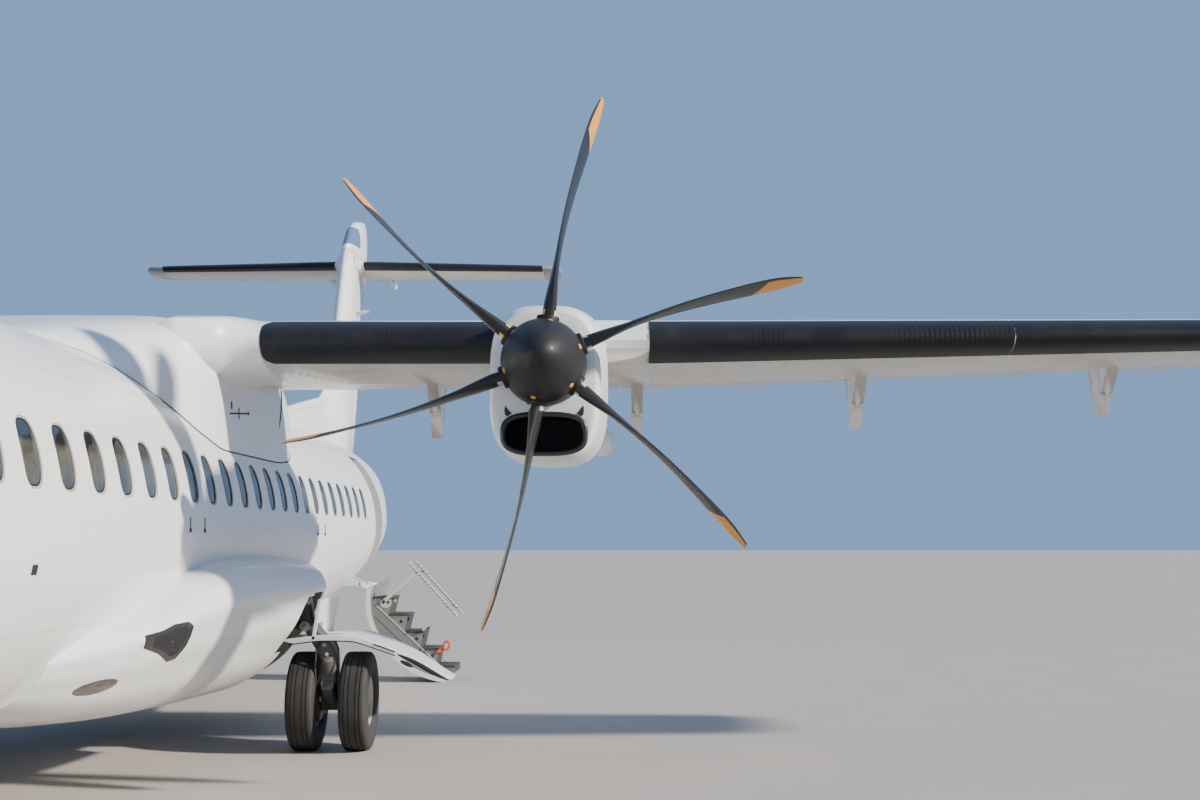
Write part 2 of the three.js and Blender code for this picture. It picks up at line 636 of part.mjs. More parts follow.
function buildNacelles() {
  const outer = loft(NACELLE.map(([station, half, bottom, top]) => superellipse(
    22, NACELLE_FULLNESS, [ENGINE_OUT, aft(station), (bottom + top) / 2], half,
    (top - bottom) / 2, (top - bottom) / 2,
  )));
  const { half, bottom, top, front, rear } = ENGINE;
  const cavity = block(
    [ENGINE_OUT - half - SEAM, ENGINE_OUT + half + SEAM],
    [aft(front) - SEAM, aft(rear) + SEAM], [bottom - SEAM, top + SEAM],
  );
  const gearboxHole = bar(
    [ENGINE_OUT, aft(AHEAD_OF_NACELLE), ENGINE_HEIGHT], [ENGINE_OUT, aft(front) + TRIM, ENGINE_HEIGHT],
    GEARBOX.radius + SEAM,
  );
  const duct = loft([
    pill(INTAKE.half, INTAKE.bottom, INTAKE.top, AHEAD_OF_NACELLE),
    pill(INTAKE.half - 20, INTAKE.bottom + 20, INTAKE.top - 10, INTAKE.rear),
  ]);
  const wing = wingSolid(ENGINE_OUT - NACELLE_WING, ENGINE_OUT + NACELLE_WING, [0, 1], SEAM);
  const pipe = [
    [ENGINE_OUT + EXHAUST.out, aft(EXHAUST.front), EXHAUST.height],
    [ENGINE_OUT + EXHAUST.out + EXHAUST.splay, aft(EXHAUST.rear), EXHAUST.height],
  ];
  const mouth = [pipe[0].map((value, axis) => lerp(value, pipe[1][axis], 0.6)), stretched(pipe, TRIM)[1]];
  const bore = bar(...mouth, EXHAUST.radius - EXHAUST.wall, 14);
  const stub = bar(...pipe, EXHAUST.radius, 14);
  const shell = join(outer, stub).subtract(join(bore, cavity, gearboxHole, duct, wing));
  const engine = engineSolid();
  SIDES.forEach(([side, sign]) => {
    add(`nacelle_${side}`, toGeometry(mirrored(shell, sign)), WHITE);
    add(`engine_${side}`, toGeometry(mirrored(engine, sign)), GREY, 0.5, 0.8);
  });
}

// Propeller blade at feather: part of the radius, chord, thickness, sweep angle, lean of the chord
const BLADE = [
  [0.13, 140, 110, 6.6, -18],
  [0.21, 190, 90, 6.9, -13],
  [0.36, 270, 46, 7.8, -3],
  [0.54, 318, 31, 9, 3],
  [0.74, 310, 23, 10.6, 7.5],
  [0.9, 240, 16, 11.8, 13],
  [1, 90, 9, 12.6, 16],
];
const SPINNER = [[9070, 0], [9085, 60], [9150, 135], [9280, 210], [9450, 272], [9620, 305], [9840, 312]];

function bladeRing([part, chord, thick, sweep, tilt]) {
  const radius = part * PROPELLER_RADIUS;
  const lean = THREE.MathUtils.degToRad(tilt);
  const around = THREE.MathUtils.degToRad(sweep);
  const outline = [[-0.5, 0], [-0.15, 0.5], [0.2, 0.42], [0.5, 0], [0.2, -0.42], [-0.15, -0.5]];
  return outline.map(([u, v]) => {
    const along = u * chord * Math.cos(lean) - v * thick * Math.sin(lean);
    const side = u * chord * Math.sin(lean) + v * thick * Math.cos(lean);
    const x = radius * Math.sin(around) + side * Math.cos(around);
    const z = radius * Math.cos(around) - side * Math.sin(around);
    return [x, along, z];
  });
}

function buildPropellers() {
  const blade = loft(BLADE.map(bladeRing));
  const blades = Array.from({ length: BLADE_COUNT }, (_, i) => blade.rotate([0, (360 / BLADE_COUNT) * i, 0]));
  const back = [SPINNER[SPINNER.length - 1][0], 0];
  const dome = new THREE.LatheGeometry([...SPINNER, back].map(([station, radius]) => (
    new THREE.Vector2(radius, station - PROPELLER_STATION)
  )), 24);
  const shaft = bar([0, 0, 0], [0, GEARBOX.front - PROPELLER_STATION - SEAM, 0], SHAFT_RADIUS, 12);
  const whole = join(...blades, toSolid(dome), shaft);
  SIDES.forEach(([side, sign]) => {
    const placed = whole.translate([sign * ENGINE_OUT, aft(PROPELLER_STATION), ENGINE_HEIGHT]);
    add(`propeller_${side}`, toGeometry(placed), BLACK, 0.55);
  });
}

// Fin seen from the side: height, leading station, trailing station, half thickness
const FIN = [
  [3000, 22450, 25460, 235],
  [4310, 23100, 25850, 200],
  [5500, 23850, 26190, 170],
  [6620, 24380, 26520, 150],
  [6950, 24600, 26680, 145],
  [7220, 24880, 26760, 130],
  [7420, 25250, 26760, 100],
  [7530, 25700, 26680, 70],
  [7600, 26100, 26520, 40],
];
const FIN_TOP = 7600;
// The rudder's ends need more room than its nose, because its hinge line leans.
const RUDDER = { bottom: 3370, top: 6400, hinge: 0.64, endGap: 36 };
const FIN_TOP_BREAK = 6780;
const FIN_SEAT = 16800;
// Dorsal fin: station, height of its crest, half width of its foot
const DORSAL = [
  [17300, 3350, 60], [19000, 3560, 150], [21000, 3870, 190], [22300, 4060, 200], [23350, 4480, 190],
];
const DORSAL_FOOT = { height: 3000, shoulder: 3350, crestHalf: 20 };

function finRing([height, lead, trail, half], chordPart, grow) {
  const chord = trail - lead;
  return airfoilRing(
    { lead, chord, thick: 2 * half, camber: 0, droop: 0 }, chordPart, grow,
    (run, rise) => [rise, aft(run), height],
  );
}

// The rudder's hinge is a straight line between two places on the fin.
const rudderHinge = ([height, lead, trail]) => [0, aft(lerp(lead, trail, RUDDER.hinge)), height];
const RUDDER_LINE = [RUDDER.bottom, RUDDER.top].map((height) => rudderHinge(rowAt(FIN, height)));

function rudderSolid(gap) {
  const [[, foot], [, head]] = RUDDER_LINE;
  const over = gap ? RUDDER.endGap : 0;
  return loft(rowsBetween(FIN, RUDDER.bottom - over, RUDDER.top + over).map(([height, lead, trail, half]) => {
    const chord = trail - lead;
    const onLine = lerp(foot, head, (height - RUDDER.bottom) / (RUDDER.top - RUDDER.bottom));
    const section = { lead, chord, thick: 2 * half, camber: 0, droop: 0 };
    return panelRing(section, (onLine - aft(lead)) / chord, gap, (run, rise) => [rise, aft(run), height]);
  }));
}

// Tailplane: distance out, leading station, chord
const TAILPLANE = [
  [0, 24850, 1800], [3300, 25200, 1250], [3580, 25260, 1120], [TAILPLANE_HALF_SPAN, 25420, 800],
];
const TAILPLANE_HEIGHT = 6610;
const TAILPLANE_THICKNESS = 0.12;
const ELEVATOR = { inner: 190, outer: 3260, hinge: 0.64 };

const tailRows = (from, to) => rowsBetween(TAILPLANE, from, to);
const tailPlace = (out) => (run, rise) => [out, aft(run), TAILPLANE_HEIGHT + rise];
const tailSection = (lead, chord) => (
  { lead, chord, thick: chord * TAILPLANE_THICKNESS, camber: 0, droop: 0 }
);

const tailplaneSolid = (grow) => loft(tailRows(0, TAILPLANE_HALF_SPAN).map(([out, lead, chord]) => (
  airfoilRing(tailSection(lead, chord), [0, 1], grow, tailPlace(out))
)));

const elevatorSolid = (gap) => loft(tailRows(ELEVATOR.inner - gap, ELEVATOR.outer + gap).map((row) => {
  const [out, lead, chord] = row;
  return panelRing(tailSection(lead, chord), ELEVATOR.hinge, gap, tailPlace(out));
}));

const elevatorHinge = ([out, lead, chord]) => [out, aft(lead + ELEVATOR.hinge * chord), TAILPLANE_HEIGHT];
const ELEVATOR_LINE = [ELEVATOR.inner, ELEVATOR.outer].map((out) => elevatorHinge(rowAt(TAILPLANE, out)));

function buildTail() {
  const tailplaneHalf = tailplaneSolid(0).subtract(elevatorSolid(CLEAR))
    .subtract(pinBore(...stretched(ELEVATOR_LINE, PIN.reach + SEAM)));
  const elevator = join(elevatorSolid(0), pin(...stretched(ELEVATOR_LINE, PIN.reach)));
  const tailplaneSeat = tailplaneSolid(SEAM);
  const seat = join(tailplaneSeat, tailplaneSeat.mirror([1, 0, 0]));
  const surface = (from, to) => loft(rowsBetween(FIN, from, to).map((row) => finRing(row, [0, 1], 0)));
  const dorsal = loft(DORSAL.map(([station, crest, half]) => {
    const { height, shoulder, crestHalf } = DORSAL_FOOT;
    const port = [[half, height], [half * 0.6, lerp(shoulder, crest, 0.5)], [crestHalf, crest]];
    const outline = [...port.map(([out, rise]) => [-out, rise]), ...port.reverse()];
    return outline.map(([out, rise]) => [out, aft(station), rise]);
  }));
  const taken = join(fuselage(FIN_SEAT, LENGTH, SEAM), seat, rudderSolid(CLEAR), hood(SEAM));
  const fin = join(surface(DORSAL_FOOT.height, FIN_TOP_BREAK), dorsal).subtract(taken)
    .subtract(pinBore(...stretched(RUDDER_LINE, RUDDER.endGap + PIN.reach + SEAM)));
  const rudder = join(rudderSolid(0), pin(...stretched(RUDDER_LINE, RUDDER.endGap + PIN.reach)));
  add('fin', toGeometry(fin), WHITE);
  add('fin_cap', toGeometry(surface(FIN_TOP_BREAK + SEAM, FIN_TOP).subtract(seat)), WHITE);
  add('rudder', toGeometry(rudder), WHITE);
  add('tailplane', toGeometry(join(tailplaneHalf, tailplaneHalf.mirror([1, 0, 0]))), WHITE);
  SIDES.forEach(([side, sign]) => {
    add(`elevator_${side}`, toGeometry(mirrored(elevator, sign)), WHITE);
  });
}

// Tyre profiles: place across the tyre and radius, as parts of its half width and its radius
const TYRE = [
  [-0.7, 0.52], [-0.96, 0.63], [-0.98, 0.82], [-0.7, 0.98], [0, 1],
  [0.7, 0.98], [0.98, 0.82], [0.96, 0.63], [0.7, 0.52],
];

function tyreGeometry(radius, halfWidth, place, sides) {
  const profile = TYRE.map(([across, part]) => [across * halfWidth, part * radius]);
  return wheelShape([...profile, profile[0]], sides, place);
}

// Two rims on one live axle along X.
function wheelPair(rimRadius, halfWidth, spread, axleRadius, [x, y, z], sides) {
  const dish = halfWidth * 0.5;
  const rim = [
    [-dish, 0], [-dish, rimRadius * 0.85], [-halfWidth, rimRadius],
    [halfWidth, rimRadius], [dish, rimRadius * 0.85], [dish, 0],
  ];
  const rims = [-spread, spread].map((offset) => toSolid(wheelShape(rim, sides, [x + offset, y, z])));
  return join(...rims, bar([x - spread, y, z], [x + spread, y, z], axleRadius, AXLE_SIDES));
}

const AXLE_SIDES = 24;
// A bore in which a faceted axle of the same number of sides turns without touching.
const runningBore = (radius) => radius / Math.cos(Math.PI / AXLE_SIDES) + SEAM;

const MAIN_WHEEL = {
  spread: 230, tyreHalf: 128, rimHalf: 88, rim: 0.52 * MAIN_TYRE_RADIUS - SEAM, axle: 42,
};
const NOSE_WHEEL = { spread: 165, tyreHalf: 92, rimHalf: 64, rim: 0.52 * NOSE_TYRE_RADIUS - SEAM, axle: 24 };

// Main leg from its top down: distance out, height, half width, half depth
const MAIN_LEG = [
  [1830, 1500, 50, 90], [1860, 1150, 60, 100],
  [2000, 960, 90, 110], [2065, 850, 82, 100], [2065, 600, 78, 90],
];
const MAIN_DOOR = [
  [1690, 990], [2060, 1028], [2250, 1025], [2480, 965], [2790, 845], [3040, 710], [3160, 650],
];
// The trailing arm under the leg carries the wheels: distances aft of the axle, heights and half widths
const MAIN_ARM = { ahead: 180, front: [-270, 640, 120], rear: [40, MAIN_TYRE_RADIUS, 90], half: 62 };
const MAIN_BEARING = { half: 84, radius: 85 };
const MAIN_SHOCK = { front: -290, top: 820, rear: -60, bottom: 400, radius: 62 };
const MAIN_BRACE = { from: [1100, -160, 1250], to: [1900, -180, 1090], radius: 45 };
const UPRIGHT = [[1930, 980], [1985, 1340], [2010, 1340], [1955, 980]]; // plate that stands on the gear door
const DOOR_PLATE = 32;
const MAIN_DOOR_STATIONS = [12150, 13050];

function mainLeg(grow = 0) {
  const y = aft(MAIN_GEAR_STATION);
  const line = y - MAIN_ARM.ahead;
  const leg = loft(MAIN_LEG.map(([out, height, halfWidth, halfDepth]) => [
    [out - halfWidth - grow, line - halfDepth - grow, height],
    [out + halfWidth + grow, line - halfDepth - grow, height],
    [out + halfWidth + grow, line + halfDepth + grow, height],
    [out - halfWidth - grow, line + halfDepth + grow, height],
  ]));
  const [inner, outer] = [MAIN_GEAR_OUT - MAIN_ARM.half, MAIN_GEAR_OUT + MAIN_ARM.half];
  const arm = loft([MAIN_ARM.front, MAIN_ARM.rear].map(([place, height, half]) => [
    [inner, y + place, height - half], [outer, y + place, height - half],
    [outer, y + place, height + half], [inner, y + place, height + half],
  ]));
  const across = (half, radius, sides) => bar(
    [MAIN_GEAR_OUT - half, y, MAIN_TYRE_RADIUS], [MAIN_GEAR_OUT + half, y, MAIN_TYRE_RADIUS], radius, sides,
  );
  const bearing = across(MAIN_BEARING.half, MAIN_BEARING.radius, 16);
  const bore = across(2 * MAIN_BEARING.half, runningBore(MAIN_WHEEL.axle), AXLE_SIDES);
  const { front, top, rear, bottom, radius } = MAIN_SHOCK;
  const shock = bar([MAIN_GEAR_OUT, y + front, top], [MAIN_GEAR_OUT, y + rear, bottom], radius, 12);
  const [from, to] = [MAIN_BRACE.from, MAIN_BRACE.to].map(([out, place, height]) => [out, y + place, height]);
  return join(leg, arm, bearing, shock, bar(from, to, MAIN_BRACE.radius, 10)).subtract(bore);
}

function offsetOutline(points, thickness) {
  return [...points, ...points.map(([x, z]) => [x, z - thickness]).reverse()];
}

function buildMainGear() {
  const axle = [MAIN_GEAR_OUT, aft(MAIN_GEAR_STATION), MAIN_TYRE_RADIUS];
  const { front, rear, inner, outer, top } = WHEEL_BAY;
  const roof = block([inner, outer], [aft(front), aft(rear)], [top - SEAM, top + inner]);
  const leg = mainLeg().subtract(roof).subtract(fuselage(front, rear, SEAM));
  const length = MAIN_DOOR_STATIONS.map(aft);
  const door = join(slab(offsetOutline(MAIN_DOOR, DOOR_PLATE), length), slab(UPRIGHT, length));
  const { spread, tyreHalf, rimHalf, rim } = MAIN_WHEEL;
  const wheels = wheelPair(rim, rimHalf, spread, MAIN_WHEEL.axle, axle, 24);
  SIDES.forEach(([side, sign]) => {
    add(`main_gear_leg_${side}`, toGeometry(mirrored(leg, sign)), DARK_METAL, 0.5, 0.5);
    add(`main_gear_door_${side}`, toGeometry(mirrored(door.subtract(mainLeg(SEAM)), sign)), WHITE);
    add(`main_wheels_${side}`, toGeometry(mirrored(wheels, sign)), CREAM, 0.45, 0.3);
    [['inner', -spread], ['outer', spread]].forEach(([place, offset]) => {
      const centre = [sign * (axle[0] + offset), axle[1], axle[2]];
      add(`main_tyre_${side}_${place}`, tyreGeometry(MAIN_TYRE_RADIUS, tyreHalf, centre, 24), BLACK, 0.9);
    });
  });
}

// Nose leg: where it turns, its drag brace and its doors
const NOSE_LEG = { radius: 62, steerTop: 640, forkRadius: 46 };
const NOSE_BRACE = { foot: 900, back: 480, drop: 60, radius: 32 };
const NOSE_HUB = { half: 60, radius: 44 };
const NOSE_DOOR = { front: 1500, thick: 22, bottom: 480, top: 900 };

function buildNoseGear() {
  const y = aft(NOSE_GEAR_STATION);
  const { radius, steerTop, forkRadius } = NOSE_LEG;
  const roof = NOSE_BAY.top - SEAM;
  const braceTop = [0, y + NOSE_BRACE.back, NOSE_BAY.top - NOSE_BRACE.drop];
  const leg = join(
    bar([0, y, steerTop + SEAM], [0, y, roof], radius, 14),
    bar([0, y, NOSE_BRACE.foot], braceTop, NOSE_BRACE.radius, 12),
  );
  const across = (half, size, sides) => bar(
    [-half, y, NOSE_TYRE_RADIUS], [half, y, NOSE_TYRE_RADIUS], size, sides,
  );
  const fork = join(
    bar([0, y, NOSE_TYRE_RADIUS], [0, y, steerTop], forkRadius, 12),
    across(NOSE_HUB.half, NOSE_HUB.radius, 14),
  ).subtract(across(2 * NOSE_HUB.half, runningBore(NOSE_WHEEL.axle), AXLE_SIDES));
  add('nose_gear_leg', toGeometry(leg), STEEL, 0.4, 0.6);
  add('nose_gear_fork', toGeometry(fork), STEEL, 0.4, 0.6);
  const { spread, tyreHalf, rimHalf, rim } = NOSE_WHEEL;
  const centre = [0, y, NOSE_TYRE_RADIUS];
  const wheels = wheelPair(rim, rimHalf, spread, NOSE_WHEEL.axle, centre, 20);
  add('nose_wheels', toGeometry(wheels), CREAM, 0.45, 0.3);
  SIDES.forEach(([side, sign]) => {
    const place = [sign * spread, y, NOSE_TYRE_RADIUS];
    add(`nose_tyre_${side}`, tyreGeometry(NOSE_TYRE_RADIUS, tyreHalf, place, 20), BLACK, 0.9);
    const door = block(
      [NOSE_BAY.half - NOSE_DOOR.thick, NOSE_BAY.half - SEAM],
      [aft(NOSE_DOOR.front), aft(NOSE_BAY.rear) - SEAM], [NOSE_DOOR.bottom, NOSE_DOOR.top],
    );
    add(`nose_gear_door_${side}`, toGeometry(mirrored(door, sign)), WHITE);
  });
}

// Treads with the stair down: distance out and height of the middle of each
const TREAD = { count: 5, out: 2344, height: 215, stepIn: 209, stepUp: 225, half: 130, thick: 24 };
const STRINGER = { thick: 22, inset: 60, in: 370, under: 400, foot: -300 };
// Handrail seen along the aeroplane: ends of each bar with the stair down, and radius
const HANDRAIL = [
  [[1527, 1055], [1980, 1470], 12], [[2030, 670], [2384, 993], 12], [[1850, 1570], [2500, 865], 14],
];

function buildAirstair() {
  const [front, rear] = STAIR_DOORWAY;
  const turn = (solid) => solid.translate([-STAIR_HINGE.out, 0, -STAIR_HINGE.height])
    .rotate([0, STAIR_OPEN, 0]).translate([STAIR_HINGE.out, 0, STAIR_HINGE.height]);
  const panel = join(doorPanel(STAIR_DOORWAY, 1), ...stairHinges().map(({ lug }) => lug));
  const width = [aft(front) + STRINGER.inset, aft(rear) - STRINGER.inset];
  const middles = Array.from({ length: TREAD.count }, (_, i) => (
    [TREAD.out - TREAD.stepIn * i, TREAD.height + TREAD.stepUp * i]
  ));
  const treads = middles.map(([x, z]) => (
    block([x - TREAD.half, x + TREAD.half], width, [z - TREAD.thick, z])
  ));
  const climb = middles.flatMap(([x, z], i) => {
    const riser = i < TREAD.count - 1 ? middles[i + 1][0] + TREAD.half : x - TREAD.half;
    return [[x + TREAD.half, z], [riser, z]];
  });
  const [high, low] = [middles[TREAD.count - 1], middles[0]];
  const under = [
    [high[0] - STRINGER.in, high[1] - STRINGER.under], [low[0] + TREAD.half, STRINGER.foot],
  ];
  const side = [...climb, ...under];
  const plates = [width[0], width[1] - STRINGER.thick].map((y) => slab(side, [y, y + STRINGER.thick]));
  const room = fuselage(front - TRIM, rear + TRIM, -DOOR_THICKNESS - SEAM)
    .intersect(opening(STAIR_DOORWAY, [VESTIBULE_INNER, BEYOND], -CLEAR));
  add('airstair_door', toGeometry(turn(panel)), WHITE);
  add('airstair_steps', toGeometry(join(...treads, ...plates).intersect(turn(room))), GREY, 0.5, 0.4);
  [['front', width[0], -1], ['aft', width[1], 1]].forEach(([place, y, outward]) => {
    const rods = HANDRAIL.map(([[x0, z0], [x1, z1], radius]) => {
      const line = y + outward * (SEAM + radius);
      return bar([x0, line, z0], [x1, line, z1], radius, 12);
    });
    add(`handrail_${place}`, toGeometry(join(...rods)), STEEL, 0.3, 0.6);
  });
}

buildFuselage();
buildWindscreen();
buildWing();
buildWingFairing();
buildBellyFairing();
buildNacelles();
buildPropellers();
buildTail();
buildMainGear();
buildNoseGear();
buildAirstair();

export default airliner;
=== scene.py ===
# Twin turboprop airliner on its gear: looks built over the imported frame, in metres, nose to -Y, port side +X.
import json
import math

import bpy
import numpy as np
from mathutils import Matrix, Vector


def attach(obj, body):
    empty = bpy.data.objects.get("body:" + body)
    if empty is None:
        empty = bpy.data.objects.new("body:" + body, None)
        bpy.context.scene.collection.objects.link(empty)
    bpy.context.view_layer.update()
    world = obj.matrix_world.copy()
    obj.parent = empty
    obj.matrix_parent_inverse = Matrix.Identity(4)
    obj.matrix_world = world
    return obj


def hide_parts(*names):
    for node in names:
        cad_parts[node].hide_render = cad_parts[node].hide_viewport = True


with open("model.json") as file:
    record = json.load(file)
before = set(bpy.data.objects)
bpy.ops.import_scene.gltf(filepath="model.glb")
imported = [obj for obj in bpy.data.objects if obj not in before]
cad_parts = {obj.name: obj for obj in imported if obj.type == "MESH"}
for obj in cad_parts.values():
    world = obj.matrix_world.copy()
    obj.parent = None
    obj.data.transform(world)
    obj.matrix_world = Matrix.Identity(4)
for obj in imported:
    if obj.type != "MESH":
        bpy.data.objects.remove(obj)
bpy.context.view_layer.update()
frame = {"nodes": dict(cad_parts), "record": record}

LENGTH = 27.166


def aft(station):
    """The y of a station, which is a distance aft of the nose tip."""
    return station - LENGTH / 2


# Camera. It stands ahead of the port propeller at eye height, turned a little to starboard
# and tilted up, as the photograph was taken with a short wide lens held level by hand.
SENSOR = 36
PHOTO_WIDTH = 1200
FOCAL_PIXELS = 1539
eye = Vector((4.55, aft(-1.34), 1.83))
yaw, pitch = math.radians(-0.47), math.radians(5.29)
forward = Vector((math.sin(yaw) * math.cos(pitch), math.cos(yaw) * math.cos(pitch), math.sin(pitch)))
right = Vector((math.cos(yaw), -math.sin(yaw), 0))
up = right.cross(forward)
bpy.ops.object.camera_add()
camera = bpy.context.object
camera.name = "camera"
turn = Matrix((right, up, -forward)).transposed().to_4x4()
camera.matrix_world = Matrix.Translation(eye) @ turn
camera.data.sensor_width = SENSOR
camera.data.lens = SENSOR * FOCAL_PIXELS / PHOTO_WIDTH
camera.data.clip_end = 400
bpy.context.scene.camera = camera

# Paint of the airframe: gloss white polyurethane over primer on aluminium sheet and composite shells.
# It is sprayed in one coat, so the same grime and seams run over every panel, and it greys a little
# where air and rain draw dirt back along the skin.
WHITE = (0.80, 0.80, 0.785)


def group(name, inputs, outputs, build):
    """A shared node group. inputs and outputs are (name, socket type, default); build fills it in."""
    tree = bpy.data.node_groups.new(name, "ShaderNodeTree")
    for label, kind, value in inputs:
        socket = tree.interface.new_socket(label, in_out="INPUT", socket_type=kind)
        if value is not None:
            socket.default_value = value
    for label, kind in outputs:
        tree.interface.new_socket(label, in_out="OUTPUT", socket_type=kind)
    build(tree, tree.nodes.new("NodeGroupInput").outputs, tree.nodes.new("NodeGroupOutput").inputs)
    return tree


def node(tree, kind, settings=None, **sockets):
    """A node with its settings made and its sockets given a value or a link."""
    made = tree.nodes.new(kind)
    for key, value in (settings or {}).items():
        setattr(made, key, value)
    for key, value in sockets.items():
        socket = made.inputs[int(key[1:]) if key[1:].isdigit() else key.replace("_", " ")]
        if isinstance(value, bpy.types.NodeSocket):
            tree.links.new(value, socket)
        else:
            socket.default_value = value
    return made


def maths(tree, operation, a, b=0.0, c=0.0):
    """The output of one Math node."""
    return node(tree, "ShaderNodeMath", {"operation": operation}, i0=a, i1=b, i2=c).outputs[0]


def times(tree, a, b):
    """Two values multiplied."""
    return maths(tree, "MULTIPLY", a, b)


def plus(tree, a, b):
    """Two values added."""
    return maths(tree, "ADD", a, b)


def ramp(tree, value, low, high):
    """0 below low and 1 above high, smooth between."""
    made = node(tree, "ShaderNodeMapRange", {"interpolation_type": "SMOOTHSTEP"},
                Value=value, From_Min=low, From_Max=high)
    return made.outputs[0]


def noise(tree, vector, scale, detail=3.0, stretch=(1, 1, 1)):
    """Noise on the given coordinates, drawn out along the axes with a small stretch."""
    mapped = node(tree, "ShaderNodeMapping", Vector=vector, Scale=stretch)
    made = node(tree, "ShaderNodeTexNoise", Vector=mapped.outputs[0], Scale=scale, Detail=detail)
    return made.outputs["Fac"]


def mix(tree, factor, a, b):
    """Two colours mixed by a factor."""
    made = node(tree, "ShaderNodeMix", {"data_type": "RGBA"}, i0=factor)
    for socket, value in ((made.inputs[6], a), (made.inputs[7], b)):
        if isinstance(value, bpy.types.NodeSocket):
            tree.links.new(value, socket)
        else:
            socket.default_value = (*value, 1)
    return made.outputs[2]


def build_grime(tree, given, made):
    """Streaks drawn along the airflow, cloudy patches and fine specks, as one mask."""
    place = given["Place"]
    streaks = ramp(tree, noise(tree, place, 1.0, 6, (3.5, 0.35, 5.0)), 0.48, 0.78)
    clouds = ramp(tree, noise(tree, place, 0.7, 5), 0.35, 0.75)
    specks = ramp(tree, noise(tree, place, 38.0, 2), 0.66, 0.78)
    both = plus(tree, times(tree, streaks, 0.6), times(tree, clouds, 0.5))
    whole = plus(tree, both, times(tree, specks, 0.25))
    tree.links.new(times(tree, whole, given["Amount"]), made["Mask"])


grime = group("grime", [("Place", "NodeSocketVector", None), ("Amount", "NodeSocketFloat", 0.5)],
              [("Mask", "NodeSocketFloat")], build_grime)


def soiling(tree, place, amount):
    """The grime mask, by how dirty the part is."""
    return node(tree, "ShaderNodeGroup", {"node_tree": grime}, Place=place, Amount=amount).outputs[0]


def build_seams(tree, given, made):
    """Butt joints at even steps along one axis, as a thin line mask."""
    value = maths(tree, "DIVIDE", maths(tree, "SUBTRACT", given["Value"], given["Start"]), given["Step"])
    away = maths(tree, "ABSOLUTE", maths(tree, "SUBTRACT", value, maths(tree, "ROUND", value)))
    distance = times(tree, away, given["Step"])
    line = maths(tree, "SUBTRACT", 1.0, ramp(tree, distance, 0.0012, 0.004))
    tree.links.new(line, made["Line"])


seams = group("seams", [("Value", "NodeSocketFloat", 0.0), ("Start", "NodeSocketFloat", 0.0),
                        ("Step", "NodeSocketFloat", 1.0)], [("Line", "NodeSocketFloat")], build_seams)


def finish(name, base, rough, metal=0.0, coat=0.0):
    """A new material with its tree, its shader, and the object coordinates."""
    material = bpy.data.materials.new(name)
    material.use_nodes = True
    tree = material.node_tree
    shader = tree.nodes["Principled BSDF"]
    shader.inputs["Base Color"].default_value = (*base, 1)
    shader.inputs["Roughness"].default_value = rough
    shader.inputs["Metallic"].default_value = metal
    shader.inputs["Coat Weight"].default_value = coat
    shader.inputs["Coat Roughness"].default_value = 0.08
    place = tree.nodes.new("ShaderNodeTexCoord").outputs["Object"]
    return material, tree, shader, place


def split(tree, place):
    """The three coordinates of a place."""
    return node(tree, "ShaderNodeSeparateXYZ", Vector=place).outputs


def bumped(tree, shader, strength, distance, height):
    """Lets a height stand out on the surface."""
    bump = node(tree, "ShaderNodeBump", Strength=strength, Distance=distance, Height=height)
    tree.links.new(bump.outputs[0], shader.inputs["Normal"])


def tuned(material, **levels):
    """Sets plain inputs of a finish's shader. Their names have underscores here."""
    for label, value in levels.items():
        material.node_tree.nodes["Principled BSDF"].inputs[label.replace("_", " ")].default_value = value
    return material


def painted(name, base=WHITE, rough=0.28, dirt=0.4, steps=((1, 1.9, 0.4),), soil=(0.42, 0.39, 0.34)):
    """Gloss paint with grime and sheet joints. steps are (axis, spacing, start) of the joints."""
    material, tree, shader, place = finish(name, base, rough, coat=0.35 if rough < 0.5 else 0.0)
    axes = split(tree, place)
    mask = soiling(tree, place, dirt)
    colour = mix(tree, times(tree, mask, 0.32), base, soil)
    lines = None
    for axis, step, start in steps:
        line = node(tree, "ShaderNodeGroup", {"node_tree": seams}, Value=axes[axis], Start=start, Step=step)
        lines = line.outputs[0] if lines is None else maths(tree, "MAXIMUM", lines, line.outputs[0])
    if lines is not None:
        colour = mix(tree, times(tree, lines, 0.4), colour, (0.25, 0.25, 0.25))
    tree.links.new(colour, shader.inputs["Base Color"])
    tree.links.new(plus(tree, times(tree, mask, 0.35), rough), shader.inputs["Roughness"])
    wave = times(tree, noise(tree, place, 1.6, 2), 0.004)
    peel = times(tree, noise(tree, place, 90.0, 2), 0.00012)
    height = plus(tree, wave, peel)
    if lines is not None:
        height = maths(tree, "SUBTRACT", height, times(tree, lines, 0.0012))
    bumped(tree, shader, 0.5, 1.0, height)
    return material


white_skin = painted("white_skin", steps=((1, 2.42, 0.9), (2, 1.55, 1.32)))
white_shell = painted("white_shell", steps=())

